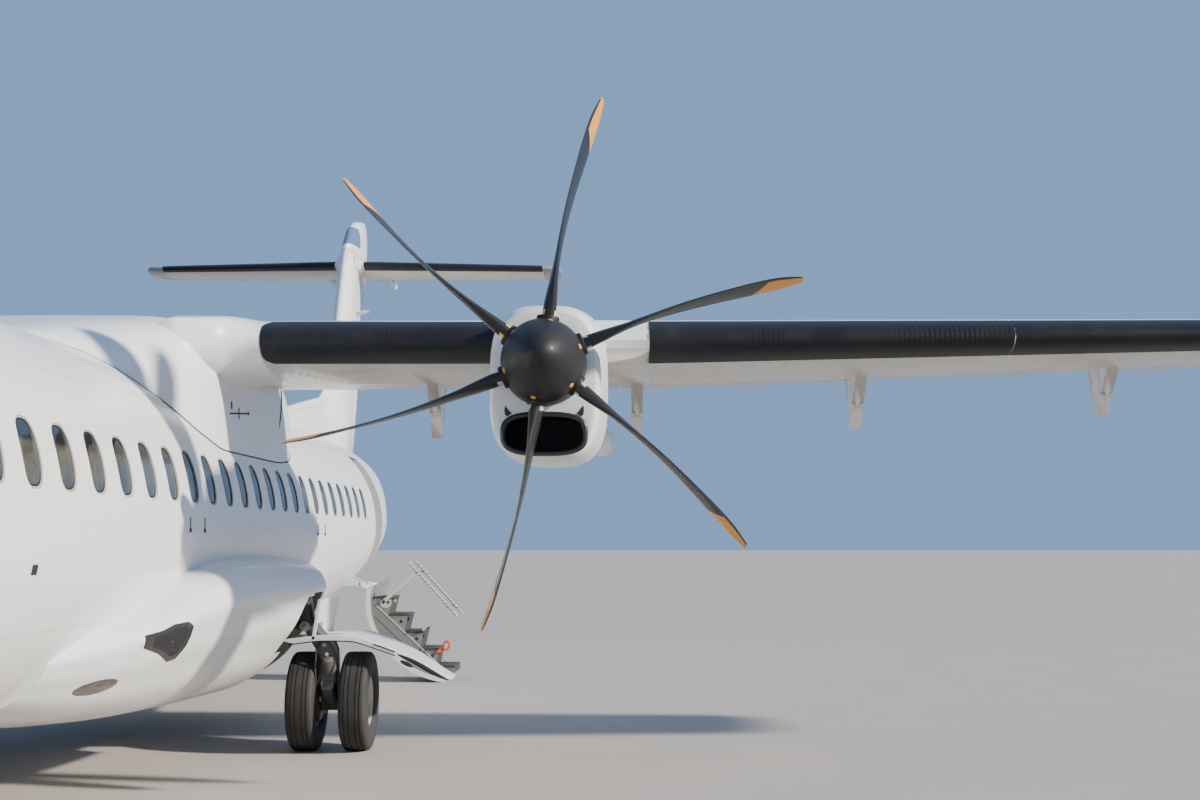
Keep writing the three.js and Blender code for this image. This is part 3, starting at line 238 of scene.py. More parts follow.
# Fuselage. Aluminium skins on frames and stringers, riveted together in barrels, with a composite
# radome at the nose. The barrels butt at four frames, and the skins are laid smooth from one to the next.
# Rows: station, half width, bottom, height of the widest point, top
FUSELAGE = [
    (0.0, 0.06, 1.40, 1.46, 1.52), (0.08, 0.23, 1.235, 1.46, 1.64), (0.26, 0.42, 1.07, 1.47, 1.79),
    (0.55, 0.62, 0.91, 1.50, 1.96), (1.0, 0.85, 0.77, 1.55, 2.14), (1.45, 1.01, 0.69, 1.61, 2.33),
    (2.0, 1.15, 0.64, 1.70, 2.76), (2.6, 1.28, 0.615, 1.79, 3.09), (3.3, 1.38, 0.605, 1.87, 3.28),
    (4.2, 1.432, 0.60, 1.94, 3.35), (15.6, 1.432, 0.60, 1.955, 3.36), (16.6, 1.432, 0.69, 1.97, 3.36),
    (17.6, 1.43, 0.81, 1.99, 3.36), (19.1, 1.415, 1.00, 2.02, 3.36), (20.5, 1.33, 1.24, 2.09, 3.35),
    (22.0, 1.12, 1.60, 2.25, 3.33), (23.5, 0.86, 1.98, 2.43, 3.29), (25.0, 0.56, 2.31, 2.62, 3.21),
    (26.3, 0.30, 2.56, 2.77, 3.11), (27.0, 0.15, 2.69, 2.84, 3.01), (27.166, 0.06, 2.76, 2.85, 2.94),
]
FULLNESS = 2.1
SKIN_STEP = 0.35
NOSE_STEP = 0.06
NOSE_END = 3.9
BARRELS = [("radome", 0.0, 1.0), ("cockpit_section", 1.0, 3.9), ("forward_fuselage", 3.9, 8.95),
           ("centre_fuselage", 8.95, 16.6), ("rear_fuselage", 16.6, 22.0), ("tail_cone", 22.0, 27.166)]
CARGO_DOORWAY = (3.96, 5.235, 1.18, 2.71)
STAIR_DOORWAY = (19.08, 19.90, 1.40, 2.97)
SERVICE_DOORWAY = (19.15, 19.76, 1.45, 2.67)


def curve(table):
    """A smooth curve through the rows of a table by its first column, which never overshoots a row."""
    data = np.array(table, float)
    x, y = data[:, 0], data[:, 1:]
    slope = np.diff(y, axis=0) / np.diff(x)[:, None]
    product, total = slope[:-1] * slope[1:], slope[:-1] + slope[1:]
    tangent = np.vstack([slope[:1], np.zeros_like(product), slope[-1:]])
    same = product > 0
    tangent[1:-1][same] = 2 * product[same] / total[same]

    def at(value):
        k = int(np.clip(np.searchsorted(x, value, side="right") - 1, 0, len(x) - 2))
        h = x[k + 1] - x[k]
        t = (value - x[k]) / h
        return (y[k] * (1 + 2 * t) * (1 - t) ** 2 + tangent[k] * h * t * (1 - t) ** 2
                + y[k + 1] * t * t * (3 - 2 * t) + tangent[k + 1] * h * t * t * (t - 1))
    return at


def places(table, start, stop, step):
    """Places from start to stop: every row of the table between them, and even steps from row to row."""
    stops = [start] + [row[0] for row in table if start < row[0] < stop] + [stop]
    found = [start]
    for a, b in zip(stops, stops[1:]):
        parts = max(1, min(10, math.ceil((b - a) / step)))
        found += [a + (b - a) * (i + 1) / parts for i in range(parts)]
    return found


def around(sides):
    """The angles of even steps round a circle."""
    return [2 * math.pi * i / sides for i in range(sides)]


def down(table, step):
    """Places down a whole table."""
    return places(table, table[0][0], table[-1][0], step)


def oval(sides, fullness, centre, half, below, above):
    """A ring of a superellipse across the aeroplane, with its own depth below and height above."""
    ring = []
    for angle in around(sides):
        c, s = math.cos(angle), math.sin(angle)
        x = half * math.copysign(abs(c) ** (2 / fullness), c)
        z = math.copysign(abs(s) ** (2 / fullness), s)
        ring.append((centre[0] + x, centre[1], centre[2] + z * (above if z > 0 else below)))
    return ring


def alone(piece):
    """Makes one object the only one selected, and active."""
    bpy.ops.object.select_all(action="DESELECT")
    piece.select_set(True)
    bpy.context.view_layer.objects.active = piece


def smooth(piece, degrees=32):
    """Shades faces as one surface where they meet at less than an angle."""
    alone(piece)
    bpy.ops.object.shade_smooth_by_angle(angle=math.radians(degrees))


def laid(name, rings, material, degrees=32):
    """A closed skin. A grid is laid row by row on the rings, then sewn at its seam and closed at its ends."""
    rows = [list(ring) + [ring[0]] for ring in rings]
    bpy.ops.object.select_all(action="DESELECT")
    bpy.ops.mesh.primitive_grid_add(x_subdivisions=len(rows[0]) - 1, y_subdivisions=len(rows) - 1)
    piece = bpy.context.object
    piece.name = name
    piece.data.vertices.foreach_set("co", np.array(rows, dtype=np.float32).ravel())
    piece.data.materials.append(material)
    bpy.ops.object.mode_set(mode="EDIT")
    bpy.ops.mesh.select_all(action="SELECT")
    bpy.ops.mesh.remove_doubles(threshold=1e-5)
    bpy.ops.mesh.fill_holes(sides=0)
    bpy.ops.mesh.select_all(action="SELECT")
    bpy.ops.mesh.normals_make_consistent(inside=False)
    bpy.ops.object.mode_set(mode="OBJECT")
    smooth(piece, degrees)
    return piece


def carved(piece, tool, operation="DIFFERENCE"):
    """Cuts a tool away from a piece, or keeps what they share. The cut faces take the tool's material."""
    cut = piece.modifiers.new("cut", "BOOLEAN")
    cut.operation = operation
    cut.solver = "EXACT"
    cut.material_mode = "TRANSFER"
    cut.object = tool
    alone(piece)
    bpy.ops.object.modifier_apply(modifier=cut.name)
    bpy.data.objects.remove(tool)
    return piece


def slab(x, y, z, material=None):
    """A cutting block between pairs of coordinates."""
    bpy.ops.object.select_all(action="DESELECT")
    bpy.ops.mesh.primitive_cube_add(size=1, location=[sum(pair) / 2 for pair in (x, y, z)],
                                    scale=[abs(b - a) for a, b in (x, y, z)])
    made = bpy.context.object
    bpy.ops.object.transform_apply(location=True, rotation=False, scale=True)
    if material:
        made.data.materials.append(material)
    return made


def doorway(frame_of, x, gap, material=None):
    """The block that cuts a doorway, grown all round by a gap."""
    front, rear, sill, head = frame_of
    return slab(x, (aft(front) - gap, aft(rear) + gap), (sill - gap, head + gap), material)


def settle(piece, body, *nodes):
    """Puts a finished piece on its body, in place of CAD nodes if any are named."""
    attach(piece, body)
    if nodes:
        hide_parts(*nodes)
    return piece


fuselage_at = curve(FUSELAGE)


def fuselage_skin(name, start, stop, grow=0.0, step=SKIN_STEP, material=white_skin):
    """A stretch of the fuselage, grown outwards by a little where it serves as a tool."""
    rings = []
    for station in places(FUSELAGE, start, stop, step):
        half, bottom, middle, top = fuselage_at(station)
        rings.append(oval(96, FULLNESS, (0, aft(station), middle),
                          half + grow, middle - bottom + grow, top - middle + grow))
    return laid(name, rings, material)


def skin_x(station, height):
    """How far out the fuselage skin is at a station and height."""
    half, bottom, middle, top = fuselage_at(station)
    rise = (height - middle) / (top - middle if height > middle else middle - bottom)
    return half * max(0.0, 1 - abs(rise) ** FULLNESS) ** (1 / FULLNESS)


cabin_lining = painted("cabin_lining", (0.62, 0.60, 0.55), 0.5, 0.5, ((1, 0.41, 0.1),))
barrels = {}
for name, start, stop in BARRELS:
    step = NOSE_STEP if stop <= NOSE_END else SKIN_STEP
    barrels[name] = fuselage_skin(name + "_skin", start + (0.0003 if start else 0), stop, 0.0, step)
carved(barrels["cockpit_section"], slab((-0.23, 0.23), (aft(1.18), aft(2.25)), (0.3, 1.15), cabin_lining))
carved(barrels["forward_fuselage"], doorway(CARGO_DOORWAY, (0.25, 1.6), 0.008, cabin_lining))
carved(barrels["rear_fuselage"], doorway(STAIR_DOORWAY, (-0.9, 1.6), 0.008, cabin_lining))
for name, start, stop in BARRELS:
    smooth(barrels[name])
    settle(barrels[name], "airframe", name)

# Doors. Each is a pan of skins on pressed frames, as thick as the wall. The cargo door hangs on a line of
# hinge barrels along its head, and the service door plugs its hole on the starboard side.
CARGO_AXIS = (1.227, 2.714)
SIDES = [("port", 1), ("stbd", -1)]
door_white = painted("door_white", steps=((1, 0.42, 0.02),), dirt=0.3)


def door_panel(name, frame_of, side):
    """A closed door: what a doorway takes out of the skin, as thick as the wall."""
    front, rear = frame_of[:2]
    panel = fuselage_skin(name, front - 0.04, rear + 0.04, material=door_white)
    reach = (0.3, 1.6) if side > 0 else (-1.6, -0.3)
    carved(panel, doorway(frame_of, reach, 0, door_white), "INTERSECT")
    return carved(panel, fuselage_skin("lining", front - 0.06, rear + 0.06, -0.06, material=cabin_lining))


def rimmed(piece, rim, degrees):
    """Rounds off the edges of the active piece where its faces meet at more than an angle."""
    bevel = piece.modifiers.new("rim", "BEVEL")
    bevel.width, bevel.segments, bevel.angle_limit = rim, 2, math.radians(degrees)
    bpy.ops.object.modifier_apply(modifier=bevel.name)


def rod(name, start, stop, radius, material, sides=24, rim=0.0):
    """A round bar between two points, its ends rounded off where a rim is given."""
    a, b = Vector(start), Vector(stop)
    bpy.ops.object.select_all(action="DESELECT")
    bpy.ops.mesh.primitive_cylinder_add(vertices=sides, radius=radius, depth=(b - a).length, location=(a + b) / 2,
                                        rotation=(b - a).to_track_quat("Z", "Y").to_euler())
    piece = bpy.context.object
    piece.name = name
    piece.data.materials.append(material)
    bpy.ops.object.transform_apply(location=True, rotation=True, scale=True)
    if rim:
        rimmed(piece, rim, 50)
    smooth(piece)
    return piece


def joined(name, pieces):
    """Several objects made one."""
    bpy.ops.object.select_all(action="DESELECT")
    for piece in pieces:
        piece.select_set(True)
    bpy.context.view_layer.objects.active = pieces[0]
    bpy.ops.object.join()
    pieces[0].name = name
    return pieces[0]


cargo_door = door_panel("cargo_door_panel", CARGO_DOORWAY, 1)
front, rear = (aft(s) for s in CARGO_DOORWAY[:2])
barrel = rod("cargo_barrel", (CARGO_AXIS[0], front + 0.0603, CARGO_AXIS[1]),
             (CARGO_AXIS[0], rear - 0.0603, CARGO_AXIS[1]), 0.013, door_white, rim=0.002)
smooth(cargo_door)
settle(joined("cargo_door_panel", [cargo_door, barrel]), "cargo_door", "cargo_door")
ends = [rod("barrel_end", (CARGO_AXIS[0], y - s * 0.03, CARGO_AXIS[1]),
            (CARGO_AXIS[0], y + s * 0.06, CARGO_AXIS[1]), 0.014, door_white, rim=0.002)
        for y, s in ((front, 1), (rear, -1))]
settle(joined("cargo_hinge_ends", ends), "airframe")
service_door = door_panel("service_door_panel", SERVICE_DOORWAY, -1)
smooth(service_door)
settle(service_door, "airframe", "service_door")

# Nacelles. Composite cowls round each engine, with a wide lip intake below the propeller. Panels meet at
# latched seams, and the intake lip is a black electric heater mat glued round the mouth.
ENGINE_OUT = 4.05
ENGINE_HEIGHT = 3.13
NACELLE = [(9.87, 0.385, 2.44, 3.53), (9.96, 0.407, 2.42, 3.575), (10.5, 0.437, 2.432, 3.655),
           (11.3, 0.462, 2.445, 3.755), (12.2, 0.455, 2.5, 3.785), (13.0, 0.42, 2.67, 3.65),
           (13.8, 0.33, 2.94, 3.42), (14.25, 0.18, 3.11, 3.31)]
INTAKE = {"half": 0.322, "bottom": 2.457, "top": 2.784}
cowl_white = painted("cowl_white", steps=((1, 0.93, 0.62), (2, 0.62, 2.99)), dirt=0.55)
# Near-black painted shade for the insides of openings: the intake duct and its closed back, the gearbox hole, the
# exhaust pipe, the wheel bay's mouth and the belly inlet's mouth.
opening_shade_black = painted("opening_shade_black", (0.012, 0.012, 0.013), 0.6, 0.3, (), (0.05, 0.045, 0.04))
nacelle_at = curve(NACELLE)


def pill(half, bottom, top, station, sides=64, fullness=3):
    """A rounded ring about the engine's upright, from its bottom to its top."""
    deep = (top - bottom) / 2
    return oval(sides, fullness, (ENGINE_OUT, aft(station), (bottom + top) / 2), half, deep, deep)


def copied(piece, name, move=(0, 0, 0)):
    """A copy of a piece, with its own mesh moved by a step."""
    alone(piece)
    bpy.ops.object.duplicate()
    copy = bpy.context.object
    copy.name = name
    copy.parent = None
    copy.data.transform(Matrix.Translation(move))
    return copy


def mirrored(piece, name):
    """A copy of a port piece for the starboard side, with its own mesh turned the right way out."""
    copy = copied(piece, name)
    bpy.ops.object.mode_set(mode="EDIT")
    bpy.ops.mesh.select_all(action="SELECT")
    bpy.ops.transform.mirror(constraint_axis=(True, False, False), center_override=(0, 0, 0))
    bpy.ops.mesh.normals_make_consistent(inside=False)
    bpy.ops.object.mode_set(mode="OBJECT")
    return copy


def both(piece, stem, body="airframe", node_stem=None):
    """Settles a port piece and its mirror copy. A body or node ends in the side's name where it has one."""
    for side, sign in SIDES:
        one = piece if sign > 0 else mirrored(piece, f"{stem}_stbd")
        nodes = [f"{node_stem}_{side}"] if node_stem else []
        settle(one, body if body == "airframe" else f"{body}_{side}", *nodes)


rings = [pill(*nacelle_at(station), station, 96, 3.2) for station in down(NACELLE, 0.12)]
COWL_MIDDLE = 3.04
nose_lip = [[(ENGINE_OUT + (x - ENGINE_OUT) * k, y + d, COWL_MIDDLE + (z - COWL_MIDDLE) * k) for x, y, z in rings[0]]
            for k, d in ((0.955, 0.0), (0.985, 0.006), (1.0, 0.022))]
cowl = laid("cowl_port", nose_lip + rings[1:], cowl_white)
duct = [pill(INTAKE["half"] - narrow, INTAKE["bottom"] + narrow, INTAKE["top"] - drop, station)
        for narrow, drop, station in ((0.0, 0.0, 9.8), (0.0, 0.0, 9.88), (0.02, 0.01, 10.15), (0.03, 0.02, 10.39))]
carved(cowl, laid("duct", duct, opening_shade_black))
carved(cowl, rod("gearbox_hole", (ENGINE_OUT, aft(9.8), ENGINE_HEIGHT), (ENGINE_OUT, aft(9.93), ENGINE_HEIGHT),
                 0.30, opening_shade_black, 64))
stub = rod("exhaust_stub", (ENGINE_OUT + 0.30, aft(12.15), 2.76), (ENGINE_OUT + 0.39, aft(12.95), 2.76), 0.134,
           cowl_white, 48, 0.004)
carved(stub, rod("pipe", (ENGINE_OUT + 0.36, aft(12.68), 2.76), (ENGINE_OUT + 0.395, aft(13.0), 2.76), 0.12,
                 opening_shade_black, 48))
smooth(cowl)
both(joined("cowl_port", [cowl, stub]), "cowl", node_stem="nacelle")
lip_black = painted("lip_black", (0.016, 0.016, 0.017), 0.34, 0.4, (), (0.06, 0.055, 0.05))
LIP = 0.021
rings = []
for turn_by in range(0, 361, 24):
    c, s = LIP * math.cos(math.radians(turn_by)), LIP * math.sin(math.radians(turn_by))
    rings.append(pill(INTAKE["half"] - LIP + c, INTAKE["bottom"] + LIP - c, INTAKE["top"] - LIP + c, 9.874 - s))
lip = laid("intake_lip_port", rings, lip_black)
horns = []
for sign in (1, -1):
    horn = [(0.288, 2.828), (0.267, 2.80), (0.252, 2.782), (0.236, 2.772), (0.256, 2.755), (0.276, 2.748),
            (0.288, 2.765), (0.291, 2.795)]
    horns.append(laid("horn", [[(ENGINE_OUT + sign * x, aft(station), z) for x, z in horn]
                               for station in (9.866, 9.9)], lip_black))
both(joined("intake_lip_port", [lip] + horns), "intake_lip")

# Propellers. Six carbon blades with a foam core round a round-nosed spinner. Each blade is bowed back towards
# its tip, has a nickel and rubber sheath on its leading edge, an ochre tip and a cuff at its root.
PROPELLER_STATION = 9.63
PROPELLER_RADIUS = 1.965
BLADES = 6
YELLOW_LABELS = (0, 5)
CUFF_TURN = 6.7
HUB = (ENGINE_OUT, aft(PROPELLER_STATION), ENGINE_HEIGHT)
BLADE = [(0.13, 0.14, 0.11, 6.6, -18), (0.21, 0.19, 0.09, 6.9, -13), (0.36, 0.27, 0.046, 7.8, -3),
         (0.54, 0.318, 0.031, 9, 3), (0.74, 0.31, 0.023, 10.6, 7.5), (0.9, 0.24, 0.016, 11.8, 13),
         (1, 0.09, 0.009, 12.6, 16)]
SPINNER_TIP = 9.07
DOME_RUN = 0.76
SPINNER = [(SPINNER_TIP, 0.0), (9.085, 0.06), (9.15, 0.135), (9.28, 0.21), (9.45, 0.272), (9.62, 0.305), (9.84, 0.312)]
OUTLINE = [(-0.5, 0), (-0.47, 0.16), (-0.4, 0.32), (-0.28, 0.45), (-0.12, 0.5), (0.06, 0.48), (0.22, 0.38),
           (0.36, 0.22), (0.46, 0.07), (0.5, 0)]
blade_at = curve(BLADE)
material, tree, shader, place = finish("blade_black", (0.012, 0.012, 0.013), 0.42, coat=0.2)
span = node(tree, "ShaderNodeAttribute", {"attribute_name": "span"}).outputs["Fac"]
chordwise = node(tree, "ShaderNodeAttribute", {"attribute_name": "chordwise"}).outputs["Fac"]
reach = plus(tree, span, times(tree, chordwise, 0.07))
ochre = ramp(tree, reach, 0.842, 0.846)
sheath = times(tree, maths(tree, "LESS_THAN", chordwise, -0.34), maths(tree, "LESS_THAN", span, 0.995))
wear = soiling(tree, place, 0.8)
tip = mix(tree, times(tree, wear, 0.5), (0.78, 0.34, 0.03), (0.30, 0.15, 0.035))
body = mix(tree, times(tree, wear, 0.6), (0.013, 0.013, 0.014), (0.05, 0.045, 0.04))
colour = mix(tree, ochre, body, tip)
colour = mix(tree, sheath, colour, (0.02, 0.02, 0.022))
label = node(tree, "ShaderNodeAttribute", {"attribute_name": "label"}).outputs["Fac"]
on_root = times(tree, maths(tree, "COMPARE", span, 0.176, 0.009),
                maths(tree, "COMPARE", chordwise, -0.2, 0.17))
colour = mix(tree, on_root, colour, mix(tree, label, (0.5, 0.5, 0.48), (0.75, 0.62, 0.05)))
tree.links.new(colour, shader.inputs["Base Color"])
rough = plus(tree, times(tree, wear, 0.25),
             maths(tree, "SUBTRACT", 0.42, times(tree, sheath, 0.14)))
tree.links.new(rough, shader.inputs["Roughness"])
bumped(tree, shader, 0.25, 0.001, noise(tree, place, 160.0, 3))
blade_black = tuned(material, Specular_IOR_Level=0.25)
spinner_black = painted("spinner_black", (0.014, 0.014, 0.015), 0.5, 0.35, (), (0.07, 0.06, 0.05))
tuned(spinner_black, Coat_Weight=0.05, Specular_IOR_Level=0.25)


def blade_ring(part, turn_by):
    """The ring of a blade at a part of its length, for a blade turned about the hub by some degrees."""
    chord, thick, sweep, tilt = blade_at(part)
    radius = part * PROPELLER_RADIUS
    lean, clock = math.radians(tilt), math.radians(sweep + turn_by)
    outline = OUTLINE + [(u, -v) for u, v in OUTLINE[-2:0:-1]]
    ring = []
    for u, v in outline:
        along = u * chord * math.cos(lean) - v * thick * math.sin(lean)
        side = u * chord * math.sin(lean) + v * thick * math.cos(lean)
        ring.append((HUB[0] + radius * math.sin(clock) + side * math.cos(clock), HUB[1] + along,
                     HUB[2] + radius * math.cos(clock) - side * math.sin(clock)))
    return ring


def blade(index):
    """One blade, with its span and the place across its chord kept at each point for the paint."""
    parts = sorted(set(down(BLADE, 0.03) + [0.167, 0.185]))
    piece = laid(f"blade_{index}", [blade_ring(part, 360 // BLADES * index) for part in parts], blade_black, 50)
    points = np.empty(len(piece.data.vertices) * 3, dtype=np.float32)
    piece.data.vertices.foreach_get("co", points)
    points = points.reshape(-1, 3) - HUB
    span = np.hypot(points[:, 0], points[:, 2]) / PROPELLER_RADIUS
    chords = np.interp(span, [row[0] for row in BLADE], [row[1] for row in BLADE])
    yellow = np.full(len(span), 1.0 if index in YELLOW_LABELS else 0.0)
    for label, values in (("span", span), ("chordwise", points[:, 1] / chords), ("label", yellow)):
        piece.data.attributes.new(label, "FLOAT", "POINT").data.foreach_set("value", values.astype(np.float32))
    return piece


def turned(name, profile, centre, sides, material):
    """A round piece turned about the line of flight. The profile's columns are station and radius."""
    rings = []
    for station, radius in profile:
        rings.append([(centre[0] + max(radius, 1e-4) * math.cos(a), aft(station),
                       centre[1] + max(radius, 1e-4) * math.sin(a)) for a in around(sides)])
    return laid(name, rings, material)


spinner_at = curve([(math.sqrt(s - SPINNER_TIP), r) for s, r in SPINNER])
dome = [(SPINNER_TIP + t * t, float(spinner_at(t)[0])) for t in np.linspace(0, math.sqrt(DOME_RUN), 40)]
dome += [(9.838, 0.306), (9.84, 0.29)]
spinner = turned("spinner", dome, (ENGINE_OUT, ENGINE_HEIGHT), 96, spinner_black)
blades = [blade(index) for index in range(BLADES)]
ochre_spot = painted("ochre_spot", (0.55, 0.27, 0.04), 0.5, 0.5, ())
cuffs = []
for index in range(BLADES):
    clock = math.radians(360 // BLADES * index + CUFF_TURN)
    out = Vector((math.sin(clock), 0, math.cos(clock)))
    hub = Vector(HUB)
    cuffs.append(rod("cuff", hub + out * 0.27, hub + out * 0.325, 0.083, spinner_black, 40, 0.012))
    spot = []
    for size, rise in ((0.02, 0.0015), (0.8, 0.0015), (1.0, 0.0), (1.0, -0.004), (0.02, -0.004)):
        ring = []
        for k in range(16):
            angle = clock + 0.1 + 0.07 * size * math.cos(k * math.pi / 8)
            station = 9.50 + 0.035 * size * math.sin(k * math.pi / 8)
            radius = float(spinner_at(math.sqrt(station - SPINNER_TIP))[0]) + rise
            ring.append((hub[0] + radius * math.sin(angle), aft(station), hub[2] + radius * math.cos(angle)))
        spot.append(ring)
    cuffs.append(laid("spot", spot, ochre_spot))
port_set = joined("propeller_port_set", [spinner] + blades + cuffs)
settle(port_set, "propeller_port", "propeller_port")
stbd_set = copied(port_set, "propeller_stbd_set", (-2 * ENGINE_OUT, 0, 0))
settle(stbd_set, "propeller_stbd", "propeller_stbd")

# Cabin windows. Stretched acrylic panes set a little inside the skin, each held by a pressed aluminium frame
# and sealed by a grey rubber ring. There are 24 on each side, one frame apart.
WINDOW = {"first": 5.923, "pitch": 0.5334, "count": 24, "height": 2.32, "half": 0.132, "deep": 0.192}
window_wall = painted("window_wall", (0.62, 0.62, 0.60), 0.45, 0.9, ())
window_seal = painted("window_seal", (0.42, 0.42, 0.41), 0.6, 0.6, ())
seal_black = painted("seal_black", (0.012, 0.012, 0.013), 0.5, 0.6, (), (0.06, 0.055, 0.05))


def glazed(name, base, shade):
    """Dark glass: a cool body colour under a clear gloss coat, mottled with a lighter colour that is a painted
    reflection.
    """
    material, tree, shader, place = finish(name, base, 0.07, coat=1.0)
    cloud = ramp(tree, noise(tree, place, 3.1, 2, (1, 1, 1.6)), 0.3, 0.75)
    tree.links.new(mix(tree, cloud, base, shade), shader.inputs["Base Color"])
    dust = soiling(tree, place, 0.4)
    tree.links.new(plus(tree, times(tree, dust, 0.1), 0.05), shader.inputs["Roughness"])
    shader.inputs["Coat Roughness"].default_value = 0.03
    return material


def overlaid(material, build):
    """Lays one more colour over a finish. build takes the tree and the coordinates, and gives mask and colour."""
    tree = material.node_tree
    shader = tree.nodes["Principled BSDF"]
    under = shader.inputs["Base Color"].links[0].from_socket
    mask, over = build(tree, tree.nodes.new("ShaderNodeTexCoord").outputs["Object"])
    tree.links.new(mix(tree, mask, under, over), shader.inputs["Base Color"])
    return material


def dark_top(tree, place):
    """The shade behind the upper third of a window."""
    return ramp(tree, split(tree, place)[2], 2.37, 2.41), (0.018, 0.018, 0.02)


# The olive mottle of the cabin glass is a painted reflection of grass and trees, and its dark top is painted shade
# inside the cabin.
window_glass = glazed("window_glass", (0.04, 0.04, 0.034), (0.075, 0.075, 0.062))
tuned(overlaid(window_glass, dark_top), Coat_Weight=0.2, Specular_IOR_Level=0.35)


def window_ring(station, side, size, depth, sides=44):
    """The outline of a window, at a size and a depth below the skin."""
    half, deep, height = WINDOW["half"] * size, WINDOW["deep"] * size, WINDOW["height"]
    return [(side * (skin_x(station + y, height + z) - depth), aft(station + y), height + z)
            for y, _, z in oval(sides, 3.1, (0, 0, 0), half, deep, deep)]


# A bonded doubler takes the ice that the propellers throw at the skin.
SHIELD = (8.93, 10.45, 1.65)
shield = fuselage_skin("ice_shield", *SHIELD[:2], 0.003, 0.2, white_shell)
carved(shield, slab((-1.6, 1.6), (aft(8.8), aft(10.6)), (SHIELD[2], 3.6), white_shell), "INTERSECT")
smooth(shield)
settle(shield, "airframe")
window_stations = [WINDOW["first"] + WINDOW["pitch"] * k for k in range(WINDOW["count"])]
for skin, start, stop in [(barrels[name], a, b) for name, a, b in BARRELS] + [(shield, *SHIELD[:2])]:
    holes = [laid("hole", [window_ring(s, side, 1.05, 0.035), window_ring(s, side, 1.05, 0.012),
                           window_ring(s, side, 1.0, -0.05)], window_wall)
             for s in window_stations if start - 0.2 < s < stop + 0.2 for side in (1, -1)]
    if holes:
        smooth(carved(skin, joined("holes", holes)), 30)
WINDOW_PARTS = [
    ("cabin_windows", window_glass,
     [(0.02, 0.009), (0.5, 0.009), (0.9, 0.0105), (0.96, 0.013), (0.96, 0.022), (0.5, 0.022), (0.02, 0.022)]),
    ("window_seals", window_seal,
     [(1.045, 0.011), (1.02, 0.003), (0.985, 0.004), (0.975, 0.012), (1.045, 0.03), (1.045, 0.011)]),
    ("window_gaskets", seal_black,
     [(0.98, 0.012), (0.96, 0.0065), (0.925, 0.008), (0.9, 0.012), (0.98, 0.028), (0.98, 0.012)]),
]
for word, side in SIDES:
    for stem, material, section in WINDOW_PARTS:
        made = [laid(stem, [window_ring(station, side, size, depth) for size, depth in section], material)
                for station in window_stations]
        settle(joined(f"{stem}_{word}", made), "airframe")

# Windscreen. Six panes of laminated glass in a dark painted frame that is screwed to the cockpit structure.
# The two in front meet at a centre post. The next on each side slides back, and the last is fixed.
WINDSCREEN = [(1.30, 2.42), (1.56, 2.16), (2.75, 2.33), (2.75, 2.62), (2.42, 2.90), (2.16, 3.00)]
POSTS = [((1.93, 2.08), (2.41, 2.95)), ((2.38, 2.15), (2.63, 2.89))]
POST_HALF = 0.022
frame_dark = painted("frame_dark", (0.05, 0.05, 0.055), 0.4, 0.5, ())
# The lighter bluish mottle of the windscreen glass is a painted reflection.
screen_glass = glazed("screen_glass", (0.02, 0.028, 0.035), (0.05, 0.06, 0.07))


def plank(name, outline, x, material):
    """A flat outline in the Y-Z plane, carried from one x to another."""
    return laid(name, [[(place, y, z) for y, z in outline] for place in x], material)


def screen_band(grow, material):
    """A block through the nose with the outline of the panes, pushed out from its middle."""
    middle = [sum(c) / len(WINDSCREEN) for c in zip(*WINDSCREEN)]
    outline = []
    for station, height in WINDSCREEN:
        away = Vector((station - middle[0], height - middle[1])).normalized() * grow
        outline.append((aft(station + away[0]), height + away[1]))
    return plank("band", outline, (-1.5, 1.5), material)


surround = fuselage_skin("windscreen_frame", 1.0003, NOSE_END, 0.002, NOSE_STEP, frame_dark)
carved(surround, screen_band(0.035, frame_dark), "INTERSECT")
smooth(surround)
settle(surround, "airframe")
panes = fuselage_skin("windscreen_panes", 1.0003, NOSE_END, 0.0065, NOSE_STEP, screen_glass)
carved(panes, screen_band(-0.012, screen_glass), "INTERSECT")
carved(panes, slab((-POST_HALF, POST_HALF), (aft(1.0), aft(3.4)), (1.9, 3.2), frame_dark))
for (s0, z0), (s1, z1) in POSTS:
    post = [(aft(s0 - POST_HALF), z0), (aft(s0 + POST_HALF), z0), (aft(s1 + POST_HALF), z1), (aft(s1 - POST_HALF), z1)]
    carved(panes, plank("post", post, (-1.5, 1.5), frame_dark))
smooth(panes)
settle(panes, "airframe", "windscreen")

# Skin fittings. A rubber strip seals the foot of the wing fairing, and vents, drains and aerials break the
# skin. Each is a pressed or moulded part that is riveted or bonded on.
WING_FAIRING = [
    (9.7, 0.42, 3.0, 3.375, 2.2), (10.15, 0.90, 2.90, 3.48, 2.6), (10.5, 1.08, 2.76, 3.56, 3.2),
    (11.0, 1.23, 2.60, 3.655, 4.5), (11.6, 1.29, 2.52, 3.745, 5), (13.4, 1.29, 2.50, 3.765, 5),
    (14.15, 1.27, 2.53, 3.70, 4.5), (15.0, 1.08, 2.76, 3.60, 3.2), (16.2, 0.74, 3.0, 3.45, 2.4),
    (17.2, 0.42, 3.0, 3.36, 2.2),
]
hood_at = curve(WING_FAIRING)


def hood_x(station, height):
    """How far out the hood's wall is at a station and height."""
    half, base, crown, fullness = hood_at(station)
    return float(half * (1 - ((height - base) / (crown - base)) ** fullness) ** (1 / fullness))


def tube(name, points, radius, material, sides=12):
    """A bar that follows a line of points. Its section is kept square to the line."""
    path = [Vector(p) for p in points]
    rings = []
    across = None
    for k, point in enumerate(path):
        along = (path[min(k + 1, len(path) - 1)] - path[max(k - 1, 0)]).normalized()
        if across is None:
            across = along.orthogonal().normalized()
        across = (across - along * across.dot(along)).normalized()
        over = along.cross(across)
        size = radius[k] if isinstance(radius, (list, tuple)) else radius
        rings.append([tuple(point + (across * math.cos(a) + over * math.sin(a)) * size) for a in around(sides)])
    return laid(name, rings, material, 40)


